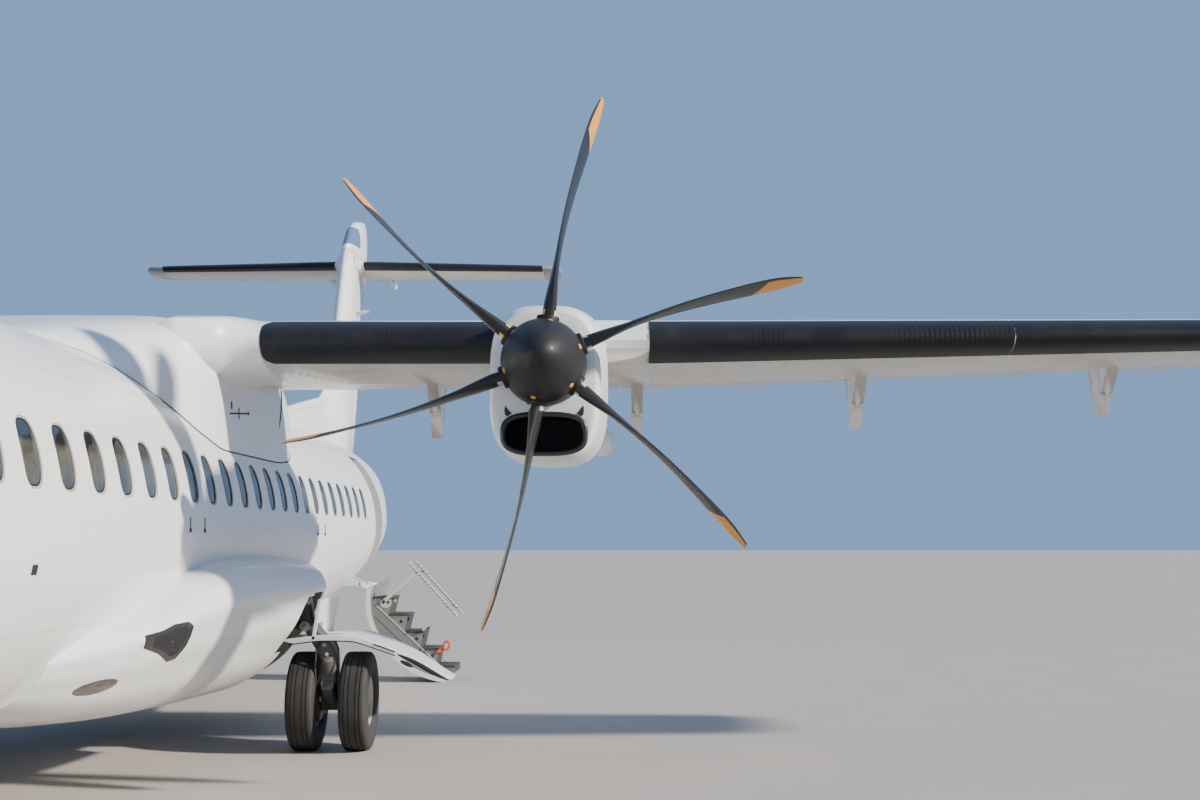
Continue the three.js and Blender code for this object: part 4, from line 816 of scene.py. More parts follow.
def hood_foot(station):
    """Where the wing fairing meets the skin at a station, on the port side."""
    half, base, crown, fullness = hood_at(station)
    low, high = 0.0, math.pi / 2
    for _ in range(40):
        angle = (low + high) / 2
        x = half * math.cos(angle) ** (2 / fullness)
        z = base + (crown - base) * math.sin(angle) ** (2 / fullness)
        if x < skin_x(station, z):
            low = angle
        else:
            high = angle
    return x, z


foot = [(s, *hood_foot(s)) for s in np.linspace(9.86, 16.6, 90)]
lines = [tube("seal", [(sign * x, aft(s), z) for s, x, z in foot], 0.0075, seal_black, 10) for sign in (1, -1)]
slot = [(13.93, 3.33), (13.87, 3.26), (13.78, 3.14), (13.7, 3.02), (13.66, 2.95)]
lines += [tube("slot", [(sign * (hood_x(s, z) - 0.002), aft(s), z) for s, z in slot],
               [0.016, 0.014, 0.012, 0.01, 0.005], seal_black, 10) for sign in (1, -1)]
settle(joined("fairing_seals", lines), "airframe")


def patch(name, corners, depths, out_at, material, side=1, parts=5, degrees=50):
    """A plate bent to a surface. depths are pairs of size and how far out each ring of the plate stands."""
    outline = []
    for (s0, z0), (s1, z1) in zip(corners, corners[1:] + corners[:1]):
        outline += [(s0 + (s1 - s0) * k / parts, z0 + (z1 - z0) * k / parts) for k in range(parts)]
    s, z = (sum(c) / len(outline) for c in zip(*outline))
    rings = []
    for size, depth in depths:
        spread = [(s + (a - s) * size, z + (b - z) * size) for a, b in outline]
        rings.append([(side * (out_at(a, b) + depth), aft(a), b) for a, b in spread])
    return laid(name, rings, material, degrees)


def skin_patch(name, front, rear, low, high, side, proud, material, parts=6):
    """A thin four-sided plate on the fuselage skin, sunk into it by its rim."""
    depths = [(0.02, proud), (0.6, proud), (0.96, proud), (1.0, proud - 0.002), (1.0, -0.02), (0.02, -0.02)]
    corners = [(front, low), (front, high), (rear, high), (rear, low)]
    return patch(name, corners, depths, skin_x, material, side, parts, 32)


patches = []
for side in (1, -1):
    patches.append(skin_patch("vent", 7.0, 7.085, 1.652, 1.71, side, 0.002, seal_black))
    for station in (10.03, 10.43, 14.98, 15.37):
        patches += [skin_patch("drain", station - 0.02, station + 0.02, 1.905, 1.935, side, 0.009, seal_black, 2),
                    skin_patch("rib", station - 0.006, station + 0.006, 1.935, 2.02, side, 0.007, seal_black, 2)]
settle(joined("skin_vents", patches), "airframe")
settle(skin_patch("vent_bezel", 6.985, 7.1, 1.64, 1.722, 1, 0.001, window_wall), "airframe")
AERIAL_SECTION = [(0, -0.5), (0.7, -0.35), (1, -0.05), (0.6, 0.3), (0, 0.5), (-0.6, 0.3), (-1, -0.05), (-0.7, -0.35)]
aerials = []
for station, tall, chord in ((6.4, 0.26, 0.22), (8.1, 0.18, 0.16)):
    root = float(fuselage_at(station)[3]) - 0.01
    rings = [[(u * 0.016 * size, aft(station) + chord * (part * 0.55 + v * size), root + tall * part)
              for u, v in AERIAL_SECTION] for part, size in ((0, 1.0), (0.5, 0.8), (0.9, 0.62), (1, 0.5))]
    aerials.append(laid("aerial", rings, white_shell, 50))
settle(joined("roof_aerials", aerials), "airframe")

# Wing. A tapered box of aluminium spars and skins on each side of a straight centre part, with a composite
# leading edge. Its solids keep their shape, with their corners sewn and their faces smoothed.
HALF_SPAN = 13.525
WING = [(0.0, 11.22, 2.57, 3.49, 0.463, 0.149), (4.9, 11.22, 2.57, 3.49, 0.463, 0.149),
        (13.1, 11.64, 1.64, 3.627, 0.251, 0.016), (13.4, 11.80, 1.33, 3.635, 0.173, 0.013),
        (HALF_SPAN, 12.02, 0.90, 3.642, 0.090, 0.009)]
AIRFOIL = [(0, 0, 0), (0.0125, 0.31, 0.1), (0.05, 0.58, 0.3), (0.13, 0.84, 0.6), (0.28, 1, 0.92),
           (0.45, 0.93, 1), (0.62, 0.7, 0.85), (0.8, 0.4, 0.5), (1, 0.03, 0)]
WING_CAMBER = 0.0227


def underside_shade_and_soil(tree, place):
    """Painted shade on the underside: faces that point down are made darker, greyer and warmer, with a smeared noise of
    dirt through it.
    """
    normal = node(tree, "ShaderNodeNewGeometry").outputs["Normal"]
    below = ramp(tree, times(tree, split(tree, normal)[2], -1.0), 0.55, 0.95)
    smear = ramp(tree, noise(tree, place, 1.3, 5, (2.2, 0.5, 1)), 0.42, 0.75)
    shaded_grime_colour = mix(tree, times(tree, smear, 0.55), (0.50, 0.455, 0.385), (0.30, 0.265, 0.215))
    return times(tree, below, 0.8), shaded_grime_colour


def skin_of_wing(name, lead, dirt=0.7):
    """Wing paint, with joints along its ribs and spars, and painted shade mixed with dirt on its underside."""
    return overlaid(painted(name, dirt=dirt, steps=((0, 1.37, 0.72), (1, 0.61, lead))), underside_shade_and_soil)


wing_white = skin_of_wing("wing_white", 0.05)
metal_grey = painted("metal_grey", (0.33, 0.34, 0.35), 0.4, 0.7, ())


def dressed(name, material, degrees=30):
    """A CAD solid with its corners merged and its faces smoothed, which stands in its place."""
    source = frame["nodes"][name]
    piece = bpy.data.objects.new(name + "_dressed", source.data.copy())
    bpy.context.scene.collection.objects.link(piece)
    piece.data.materials.clear()
    piece.data.materials.append(material)
    alone(piece)
    bpy.ops.object.mode_set(mode="EDIT")
    bpy.ops.mesh.select_all(action="SELECT")
    bpy.ops.mesh.remove_doubles(threshold=1e-5)
    bpy.ops.object.mode_set(mode="OBJECT")
    smooth(piece, degrees)
    body = next(body for body, nodes in frame["record"]["behaviour"]["bodies"].items() if name in nodes)
    return settle(piece, body, name)


for name in ("wing_centre_section", "outer_wing_port", "outer_wing_stbd", "aileron_port", "aileron_stbd",
             "flap_inner_port", "flap_outer_port", "flap_inner_stbd", "flap_outer_stbd"):
    dressed(name, wing_white)

# De-icing boots. Sheets of black rubber with sewn air tubes are glued round the leading edges, in one length
# inboard of each engine and in several outboard. Talc and wear leave their tubes paler.
BOOT = {"thick": 0.0035, "tube": 0.042}


def boot_rubber(name):
    """Black rubber with a rib at each air tube across the span."""
    material, tree, shader, place = finish(name, (0.012, 0.013, 0.016), 0.42)
    axes = split(tree, place)
    rib = maths(tree, "SINE", times(tree, axes[0], 2 * math.pi / BOOT["tube"]))
    patchy = ramp(tree, noise(tree, place, 0.9, 3), 0.4, 0.7)
    scuff = soiling(tree, place, 0.7)
    tree.links.new(mix(tree, times(tree, scuff, 0.3), (0.012, 0.013, 0.016), (0.07, 0.07, 0.07)),
                   shader.inputs["Base Color"])
    tree.links.new(plus(tree, times(tree, scuff, 0.25), 0.38), shader.inputs["Roughness"])
    height = times(tree, times(tree, rib, patchy), 0.0011)
    bumped(tree, shader, 0.8, 1.0, height)
    return material


boot_black = tuned(boot_rubber("boot_black"), Specular_IOR_Level=0.22)
nose_at = curve([(math.sqrt(a), b, c) for a, b, c in AIRFOIL])


def linear(table, value):
    """A row of a table at any value of its first column, in straight lines."""
    data = np.array(table, float)
    return [float(np.interp(value, data[:, 0], data[:, k])) for k in range(1, data.shape[1])]


def nose_line(section, above, below, grow, count=9):
    """Points round a leading edge from above it to below it, as (run aft, rise)."""
    chord, thick, camber, droop = section
    line = []
    for k in range(-count, count + 1):
        side, part = (1, above * (-k / count) ** 2) if k < 0 else (-1, below * (k / count) ** 2)
        depth, bend = nose_at(math.sqrt(part))
        root = math.sqrt(part / max(above, below, 1e-6))
        line.append((part * chord - grow * (1 - root), chord * camber * bend - droop * part
                     + side * (thick * depth / 2 + grow * min(1.0, 2 * root))))
    return line


def boot(name, start, stop, round_end=False, sections=WING, camber=WING_CAMBER, reach=(0.085, 0.1)):
    """A rubber sheet round a leading edge, from one place out to another. reach is how far aft it lies."""
    spots = list(np.linspace(start, stop, max(4, int((stop - start) / 0.35))))
    if round_end:
        spots = [start, start + 0.012, start + 0.035, start + 0.07] + spots[1:]
    rings = []
    for out in sorted(spots):
        lead, chord, height, thick, droop = linear(sections, out)
        share = min(1.0, 0.5 + 0.5 * math.sqrt(max(0.0, (out - start) / 0.07))) if round_end else 1.0
        limits = (reach[0] * share, reach[1] * share)
        outer = nose_line((chord, thick, camber, droop), *limits, BOOT["thick"])
        inner = nose_line((chord, thick, camber, droop), *limits, -0.012)
        rings.append([(out, aft(lead + run), height + rise) for run, rise in outer + inner[::-1]])
    return laid(name, rings, boot_black, 40)


both(boot("boot_inner_port", 1.64, 3.62, True), "boot_inner")
outer_boots = [boot("boot", a + 0.004, b - 0.004) for a, b in ((4.85, 7.9), (7.9, 10.6), (10.6, 13.09))]
both(joined("boot_outer_port", outer_boots), "boot_outer")

# Wing fairing. A composite hood that carries the wing on the fuselage, screwed to the skin along its foot.
# A moulded fillet flows from its wall into the leading edge on each side.
rings = []
for station in down(WING_FAIRING, 0.14):
    half, base, crown, fullness = hood_at(station)
    rings.append(oval(120, fullness, (0, aft(station), base), half, 0.2, crown - base))
settle(laid("wing_hood", rings, white_shell), "airframe", "wing_fairing")
HOOD_MARKS = [(11.76, 3.0, 0.022, 0.032), (12.02, 2.95, 0.012, 0.05), (12.37, 2.98, 0.024, 0.014)]
marks = []
for sign in (1, -1):
    line = [(s, 2.925 + 0.08 * (s - 11.7)) for s in np.linspace(11.7, 12.37, 12)]
    marks.append(tube("mark", [(sign * (hood_x(s, z) + 0.001), aft(s), z) for s, z in line], 0.007, seal_black, 8))
    for station, height, half, tall in HOOD_MARKS:
        corners = [(station + a * half, height + b * tall) for a, b in ((-1, -1), (-1, 1), (1, 1), (1, -1))]
        marks.append(laid("mark", [[(sign * (hood_x(s, z) + proud), aft(s), z) for s, z in corners]
                                   for proud in (-0.02, 0.003)], seal_black))
settle(joined("hood_marks", marks), "airframe")
FILLET = [(1.0, 0.30), (1.10, 0.255), (1.2, 0.2), (1.29, 0.15), (1.38, 0.085), (1.48, 0.038), (1.57, 0.012),
          (1.63, 0.003)]
FILLET_REACH = 0.66
FILLET_START = 0.86
fillet_at = curve(FILLET)
rings = []
for out in np.linspace(FILLET_START, FILLET[-1][0], 32):
    grow = float(fillet_at(max(out, 1.0))[0])
    lead, chord, height, thick, droop = linear(WING, out)
    ring = []
    for k in range(-16, 17):
        side, part = 1 if k < 0 else -1, FILLET_REACH * (k / 16) ** 2
        depth, bend = nose_at(math.sqrt(part))
        fade = 1 - 0.75 * (part / FILLET_REACH) ** 1.5
        angle = math.atan2(depth * 1.6, 0.4 + part * 3)
        run = lead + part * chord - grow * math.cos(angle) * (1 if part < 0.2 else 0.4)
        swell = grow * math.sin(min(math.pi / 2, 1.5 * angle)) * fade * (1 if side > 0 else 0.62)
        rise = height + chord * WING_CAMBER * bend - droop * part + side * (thick * depth / 2 + swell)
        # It stays under the hood's crown, and its inner end goes under the hood's own shell.
        half, base, crown, fullness = hood_at(min(max(run, WING_FAIRING[0][0]), WING_FAIRING[-1][0]))
        shell = base + (crown - base) * max(0.0, 1 - (out / half) ** fullness) ** (1 / fullness)
        roof = min(crown - 0.004 - 0.05 * max(0.0, out - 1.3),
                   shell - 0.03 + 1.2 * (out - FILLET_START) + 40 * max(0.0, out - 1.1) ** 2)
        over = rise - roof
        ring.append((out, aft(run), roof + 0.5 * (over - math.sqrt(over * over + 0.0016))))
    rings.append(ring)
both(laid("root_fillet_port", rings, white_shell, 50), "root_fillet")

# Belly fairing. A composite tub under the wing with a bulge on each side for the main gear. It holds the air
# conditioning, which breathes through a framed inlet in the front of each bulge and a grille below it.
BELLY = [
    (8.0, 1.15, 0.76, 1.10, 1.25), (8.7, 1.43, 0.64, 1.18, 1.34), (9.3, 1.59, 0.58, 1.27, 1.45),
    (10.0, 1.71, 0.545, 1.37, 1.63), (11.0, 1.90, 0.525, 1.42, 1.705), (11.9, 2.0, 0.52, 1.43, 1.71),
    (12.5, 1.98, 0.52, 1.43, 1.71), (13.13, 1.85, 0.525, 1.42, 1.705), (14.0, 1.69, 0.545, 1.40, 1.70),
    (15.0, 1.52, 0.59, 1.35, 1.59), (16.3, 1.28, 0.69, 1.28, 1.42), (17.3, 1.05, 0.87, 1.25, 1.33),
]
BELLY_SECTION = [(0.35, -1), (0.62, -0.93), (0.73, -0.82), (0.82, -0.67), (0.88, -0.5), (0.935, -0.34),
                 (0.97, -0.18), (1, 0), (0.98, 0.42), (0.92, 0.72), (0.8, 0.92), (0.55, 1)]
WHEEL_BAY = (11.95, 13.13, 0.95, 2.2, 1.4)
bay_white = painted("bay_white", (0.30, 0.31, 0.30), 0.55, 0.9, ((1, 0.29, 0.05), (0, 0.31, 0.1)))
belly_at = curve(BELLY)


def rounded(points, count):
    """A smooth open line through points, spaced evenly by their chain length."""
    data = np.array(points, float)
    chain = np.concatenate([[0], np.cumsum(np.linalg.norm(np.diff(data, axis=0), axis=1))])
    line = curve([(c, *p) for c, p in zip(chain, data)])
    return [tuple(line(c)) for c in np.linspace(0, chain[-1], count)]


half_section = rounded(BELLY_SECTION, 40)
rings = []
for station in down(BELLY, 0.15):
    half, bottom, widest, top = belly_at(station)
    port = [(u * half, aft(station), widest + v * ((widest - bottom) if v < 0 else (top - widest)))
            for u, v in half_section]
    rings.append(port + [(-x, y, z) for x, y, z in reversed(port)])
belly = laid("belly_shell", rings, white_shell)
BAY_MOUTH = [(1.73, 1.03), (1.80, 1.12), (1.835, 1.24), (1.85, 1.335), (1.9, 1.372), (2.3, 1.385), (2.3, 0.9),
             (1.6, 0.9), (1.66, 0.97)]
front, rear, inner, outer, roof = WHEEL_BAY
for sign in (1, -1):
    carved(belly, slab((sign * inner, sign * outer), (aft(front), aft(rear)), (0.3, roof), bay_white))
    mouth = [[(sign * x, aft(station), z) for x, z in BAY_MOUTH] for station in (11.74, 12.1)]
    carved(belly, laid("mouth", mouth, opening_shade_black))
smooth(belly)
settle(belly, "airframe", "belly_fairing")
fine_section = np.array(rounded(BELLY_SECTION, 160))


def belly_x(station, height):
    """How far out the belly fairing is at a station and height."""
    half, bottom, widest, top = belly_at(station)
    v = (height - widest) / (widest - bottom if height < widest else top - widest)
    return float(half * np.interp(v, fine_section[:, 1], fine_section[:, 0]))


INLET = [(8.85, 1.22), (9.07, 1.243), (9.21, 1.276), (9.39, 1.284), (9.5, 1.25), (9.535, 1.18), (9.53, 1.106),
         (9.46, 1.02), (9.35, 1.012), (9.24, 1.047), (9.12, 1.085), (8.875, 1.137)]
grille_brown = painted("grille_brown", (0.07, 0.05, 0.04), 0.7, 0.9, ((1, 0.018, 0.0),))
GRILLE = [(8.64 + 0.21 * math.cos(a) + 0.02 * math.sin(a), 0.905 + 0.05 * math.sin(a))
          for a in around(12)]
BELLY_PATCHES = [
    ("inlet_frame", INLET, [(1.0, -0.02), (1.0, 0.006), (0.97, 0.009), (0.74, 0.005), (0.72, -0.012), (1.0, -0.02)],
     lip_black, 5),
    # The inlet's mouth is a flat near-black sheet of painted shade, laid just proud inside its frame.
    ("inlet_mouth", INLET, [(0.73, -0.02), (0.73, 0.0015), (0.5, 0.0015), (0.02, 0.0015), (0.02, -0.02)],
     opening_shade_black, 5),
    ("belly_grille", GRILLE, [(1.0, -0.02), (1.0, 0.0025), (0.93, 0.0035), (0.9, 0.001), (0.5, 0.001), (0.02, 0.001),
                              (0.02, -0.02)], grille_brown, 3),
]
for stem, outline, depths, material, parts in BELLY_PATCHES:
    both(patch(f"{stem}_port", outline, depths, belly_x, material, parts=parts), stem)

# Tail. A fin of metal spars and composite skins carries the tailplane near its top, and the rudder and the
# elevators hang on it. The tailplane has the same rubber boots as the wing, and bare grey tips.
TAILPLANE = [(0.0, 24.85, 1.8, 6.61, 0.216, 0.0), (3.3, 25.2, 1.25, 6.61, 0.15, 0.0),
             (3.58, 25.26, 1.12, 6.61, 0.1344, 0.0), (3.655, 25.42, 0.8, 6.61, 0.096, 0.0)]
tail_white = painted("tail_white", dirt=0.5, steps=((2, 1.32, 0.05), (0, 1.63, 0.05)))


def grey_tips(tree, place):
    """The bare grey outer ends of the tailplane."""
    return ramp(tree, maths(tree, "ABSOLUTE", split(tree, place)[0]), 3.334, 3.338), (0.20, 0.21, 0.23)


tailplane_white = overlaid(skin_of_wing("tailplane_white", 0.2, 0.6), grey_tips)
for name in ("fin", "fin_cap", "rudder"):
    dressed(name, tail_white)
for name in ("tailplane", "elevator_port", "elevator_stbd"):
    dressed(name, tailplane_white)
both(boot("boot_tail_port", 0.25, 3.33, sections=TAILPLANE, camber=0.0, reach=(0.085, 0.085)), "boot_tail")
ELEVATOR_FAIRING = [(26.06, 6.535, 6.56, 0.008), (26.14, 6.505, 6.57, 0.02), (26.35, 6.478, 6.575, 0.03),
                    (26.6, 6.47, 6.59, 0.032), (26.85, 6.49, 6.6, 0.027), (27.02, 6.535, 6.6, 0.016),
                    (27.1, 6.575, 6.6, 0.005)]
for side, sign in SIDES:
    rings = []
    for station, low, top, half in ELEVATOR_FAIRING:
        deep = (top - low) / 2
        rings.append(oval(28, 2.2, (sign * 0.525, aft(station), (low + top) / 2), half, deep, deep))
    settle(laid(f"elevator_fairing_{side}", rings, tailplane_white), f"elevator_{side}")

# Fin fittings. A glossy nose cap wraps the fin's top corner. Its blue-grey is partly its own colour and partly a
# painted reflection of the sky, and a blade aerial sits on each side.
# Fairing lips close the joint between the fin and the tailplane.
FIN = [(6.62, 24.38, 26.52, 0.15), (6.95, 24.6, 26.68, 0.145), (7.22, 24.88, 26.76, 0.13), (7.42, 25.25, 26.76, 0.10)]
cap_blue_and_sky_reflection = painted("cap_blue_and_sky_reflection", (0.09, 0.15, 0.28), 0.16, 0.3, ())
rings = []
for height in np.linspace(6.93, 7.3, 14):
    lead, trail, half = linear(FIN, height)
    chord = trail - lead
    reach = 0.26 * math.sqrt(max(0.06, 1 - ((height - 6.93) / 0.39) ** 2))
    outer = nose_line((chord, 2 * half, 0.0, 0.0), reach, reach, 0.004, 14)
    inner = nose_line((chord, 2 * half, 0.0, 0.0), reach, reach, -0.012, 14)
    rings.append([(rise, aft(lead + run), height) for run, rise in outer + inner[::-1]])
settle(laid("fin_nose_cap", rings, cap_blue_and_sky_reflection, 40), "airframe")
FIN_AERIAL = [(0.10, 24.42, 0.52, 5.715, 0.018), (0.2, 24.58, 0.42, 5.75, 0.015), (0.31, 24.74, 0.30, 5.79, 0.011),
              (0.345, 24.84, 0.18, 5.80, 0.006)]
for side, sign in SIDES:
    rings = []
    for out, lead, chord, height, thick in FIN_AERIAL:
        rings.append([(sign * out, aft(lead) + chord * u, height + thick * v) for u, v in
                      ((0, 0), (0.1, 0.7), (0.35, 1), (0.7, 0.6), (1, 0), (0.7, -0.6), (0.35, -1), (0.1, -0.7))])
    settle(laid(f"fin_aerial_{side}", rings, white_shell, 50), "airframe")
TAILPLANE_HEIGHT = 6.61
lead, trail, half = linear(FIN, 6.62)
fillet = []
for sign in (1, -1):
    rings = []
    for place in np.linspace(0.0, 1.0, 16):
        station = 24.62 + 1.9 * place
        width = 0.07 * math.sin(math.pi * min(1.0, 0.06 + 0.94 * place)) ** 0.5
        part = max(0.0, (station - lead) / (trail - lead))
        depth = float(nose_at(math.sqrt(part))[0]) * half
        section = [(sign * (depth + out), aft(station), TAILPLANE_HEIGHT + rise) for out, rise in
                   ((-0.02, -0.115), (width, -0.075), (width * 1.15, 0.0), (width, 0.075), (-0.02, 0.115))]
        rings.append(rounded(section, 15))
    fillet.append(laid("fillet", rings, tail_white, 50))
settle(joined("tailplane_fillets", fillet), "airframe")

# Main landing gear. A forged steel leg swings in each bulge, with a trailing arm, a chromed shock strut and
# twin wheels. Its tyres are plain ribbed rubber, and the halves of each alloy wheel are bolted together.
MAIN_AXLE = (2.065, 12.5, 0.432)
gear_dark = painted("gear_dark", (0.055, 0.055, 0.056), 0.42, 1.0, (), (0.16, 0.13, 0.10))
gear_pale = painted("gear_pale", (0.42, 0.42, 0.41), 0.45, 1.0, (), (0.14, 0.12, 0.10))
hose_black = painted("hose_black", (0.015, 0.015, 0.016), 0.55, 0.6, (), (0.09, 0.08, 0.07))


def bright(name, base, rough):
    """Bare metal with fine turning marks and a thin film of oil and dust."""
    material, tree, shader, place = finish(name, base, rough, 1.0)
    film = soiling(tree, place, 0.9)
    tree.links.new(mix(tree, times(tree, film, 0.5), base, (0.20, 0.14, 0.09)), shader.inputs["Base Color"])
    tree.links.new(plus(tree, times(tree, film, 0.35), rough), shader.inputs["Roughness"])
    bumped(tree, shader, 0.15, 0.001, noise(tree, place, 240.0, 2, (1, 1, 8)))
    return material


chrome = bright("chrome", (0.72, 0.72, 0.72), 0.12)
bare_steel = bright("bare_steel", (0.42, 0.40, 0.37), 0.35)


def tyre_rubber(name):
    """Black tyre rubber with dust and a fine grey mottle."""
    material, tree, shader, place = finish(name, (0.017, 0.017, 0.018), 0.8)
    dust = soiling(tree, place, 1.0)
    fine = ramp(tree, noise(tree, place, 26.0, 4), 0.35, 0.75)
    both_masks = plus(tree, times(tree, dust, 0.5), times(tree, fine, 0.3))
    tree.links.new(mix(tree, both_masks, (0.011, 0.011, 0.012), (0.05, 0.046, 0.041)), shader.inputs["Base Color"])
    tree.links.new(plus(tree, times(tree, fine, 0.15), 0.7), shader.inputs["Roughness"])
    bumped(tree, shader, 0.4, 0.002, fine)
    return material


tyre_black = tyre_rubber("tyre_black")
rim_cream = painted("rim_cream", (0.50, 0.45, 0.34), 0.42, 1.0, (), (0.10, 0.085, 0.07))


def spun(name, profile, centre, sides, material, degrees=35):
    """A closed round piece turned about an axle. The profile's columns are place on the axle and radius."""
    rings = []
    for place, radius in profile + profile[:1]:
        rings.append([(centre[0] + place, centre[1] + radius * math.cos(a), centre[2] + radius * math.sin(a))
                      for a in around(sides)])
    return laid(name, rings, material, degrees)


def tyre_profile(half, radius, grooves, deep=0.008, wide=0.0042):
    """The section of a tyre: two beads, round walls, square shoulders, and a tread with grooves."""
    bead = 0.522 * radius
    wall = [(0.70, 0.0), (0.74, 0.03), (0.86, 0.09), (0.955, 0.2), (0.993, 0.34), (1.0, 0.5), (0.985, 0.66),
            (0.945, 0.8), (0.88, 0.905), (0.79, 0.965), (0.7, 0.985)]
    right = [(a * half, bead + b * (radius - bead)) for a, b in wall]
    for place in sorted(grooves, reverse=True):
        crown = radius - 0.012 * (radius - bead) * (place / half) ** 2
        right += [(place + wide + 0.0015, crown), (place + wide, crown - deep), (place - wide, crown - deep),
                  (place - wide - 0.0015, crown)]
    middle_point = [] if 0 in grooves else [(0.0, radius)]
    return right + middle_point + [(-a, b) for a, b in reversed(right)]


def wheel(name, centre, half, radius, face, holes):
    """One wheel: rim, webbed face with holes, hub cap and a ring of bolts. face is the side that shows."""
    flange = 0.515 * radius
    dish = [(-half, flange), (-half * 1.04, flange * 0.985), (-half * 1.02, flange * 0.9), (-half * 0.5, flange * 0.84),
            (-half * 0.45, flange * 0.3), (half * 0.1, flange * 0.3), (half * 0.22, flange * 0.55),
            (half * 0.3, flange * 0.74), (half * 0.55, flange * 0.82), (half * 0.98, flange * 0.88),
            (half * 1.05, flange * 0.94), (half * 1.04, flange * 0.985), (half, flange)]
    body = spun(name, [(face * a, b) for a, b in dish], centre, 72, rim_cream)
    cutters = []
    for k in range(holes):
        angle = 2 * math.pi * k / holes
        y, z = centre[1] + flange * 0.64 * math.cos(angle), centre[2] + flange * 0.64 * math.sin(angle)
        cutters.append(rod("hole", (centre[0] - half * 0.2, y, z), (centre[0] + half * 1.5 * face, y, z),
                           flange * 0.085, gear_dark, 16))
    carved(body, joined("holes", cutters))
    smooth(body)
    fittings = [spun("hub", [(face * a * half, b * flange) for a, b in
                             ((0.0, 0.02), (0.0, 0.36), (0.5, 0.36), (0.62, 0.31), (0.8, 0.3), (0.9, 0.26),
                              (0.92, 0.02))], centre, 40, gear_pale)]
    for k in range(12):
        angle = 2 * math.pi * (k + 0.5) / 12
        y, z = centre[1] + flange * 0.46 * math.cos(angle), centre[2] + flange * 0.46 * math.sin(angle)
        start = centre[0] + face * half * 0.1
        fittings.append(rod("bolt", (start, y, z), (start + face * half * 0.24, y, z), flange * 0.035, bare_steel, 6,
                            0.0008))
    return joined(name, [body] + fittings)


x, y, z = MAIN_AXLE[0], aft(MAIN_AXLE[1]), MAIN_AXLE[2]
MAIN_TWIN = 0.23
tread = tyre_profile(0.128, MAIN_AXLE[2], [0.03, 0.068])
for side, sign in SIDES:
    inner, outer = ((sign * (x + offset), y, z) for offset in (-MAIN_TWIN, MAIN_TWIN))
    for word, centre in (("inner", inner), ("outer", outer)):
        tyre = spun(f"main_tyre_{side}_{word}_ribbed", tread, centre, 96, tyre_black, 42)
        settle(tyre, f"main_wheels_{side}", f"main_tyre_{side}_{word}")
    pair = [wheel("wheel", centre, 0.088, z, face, 9) for centre, face in ((inner, -sign), (outer, sign))]
    pair.append(rod("axle", (sign * (x - 0.2), y, z), (sign * (x + 0.2), y, z), 0.0415, bare_steel, 32))
    settle(joined(f"main_wheels_{side}_set", pair), f"main_wheels_{side}", f"main_wheels_{side}")

LEG = [(1.83, 1.395, 0.050, 0.090), (1.86, 1.15, 0.060, 0.100), (2.0, 0.96, 0.090, 0.110),
       (2.065, 0.85, 0.082, 0.100), (2.065, 0.6, 0.078, 0.090)]
line = y - 0.18


def boxed(name, rows, material):
    """A forging lofted through rounded boxes: rows of centre, half width, half depth, across and along."""
    rings = []
    for centre, across, along, half, deep in rows:
        ring = []
        for angle in around(24):
            u = math.copysign(abs(math.cos(angle)) ** 0.4, math.cos(angle))
            v = math.copysign(abs(math.sin(angle)) ** 0.4, math.sin(angle))
            ring.append(tuple(Vector(centre) + Vector(across) * half * u + Vector(along) * deep * v))
        rings.append(ring)
    return laid(name, rings, material, 40)


leg_rows = [linear([(-r[1], *r) for r in LEG], -h) for h in np.linspace(1.395, 0.6, 12)]
leg = [boxed("leg", [((out, line, height), (1, 0, 0), (0, 1, 0), wide, deep)
                     for out, height, wide, deep in leg_rows], gear_dark)]
leg.append(boxed("arm", [((x, line - 0.09, 0.64), (1, 0, 0), (0, 0.5, 0.87), 0.055, 0.10),
                         ((x, line + 0.0, 0.57), (1, 0, 0), (0, 0.5, 0.87), 0.062, 0.11),
                         ((x, y + 0.02, 0.44), (1, 0, 0), (0, 0.4, 0.9), 0.060, 0.085)], gear_dark))
STRUT = [(0.0, 0.5, 0.062, gear_dark), (0.48, 0.54, 0.066, bare_steel), (0.54, 0.88, 0.047, chrome),
         (0.88, 1.0, 0.056, gear_dark), (-0.05, 0.06, 0.05, bare_steel)]
strut_top, strut_end = Vector((x, line - 0.11, 0.82)), Vector((x, y - 0.085, 0.44))
run = strut_end - strut_top
for a, b, radius, material in STRUT:
    leg.append(rod("strut", strut_top + run * a, strut_top + run * b, radius, material, 32, 0.004))


def cross_bar(name, inner, outer, y, z, *finish_of):
    """A round bar that lies across the aeroplane."""
    return rod(name, (inner, y, z), (outer, y, z), *finish_of)


def fore_bar(name, front, rear, x, z, *finish_of):
    """A round bar that lies along the line of flight."""
    return rod(name, (x, front, z), (x, rear, z), *finish_of)


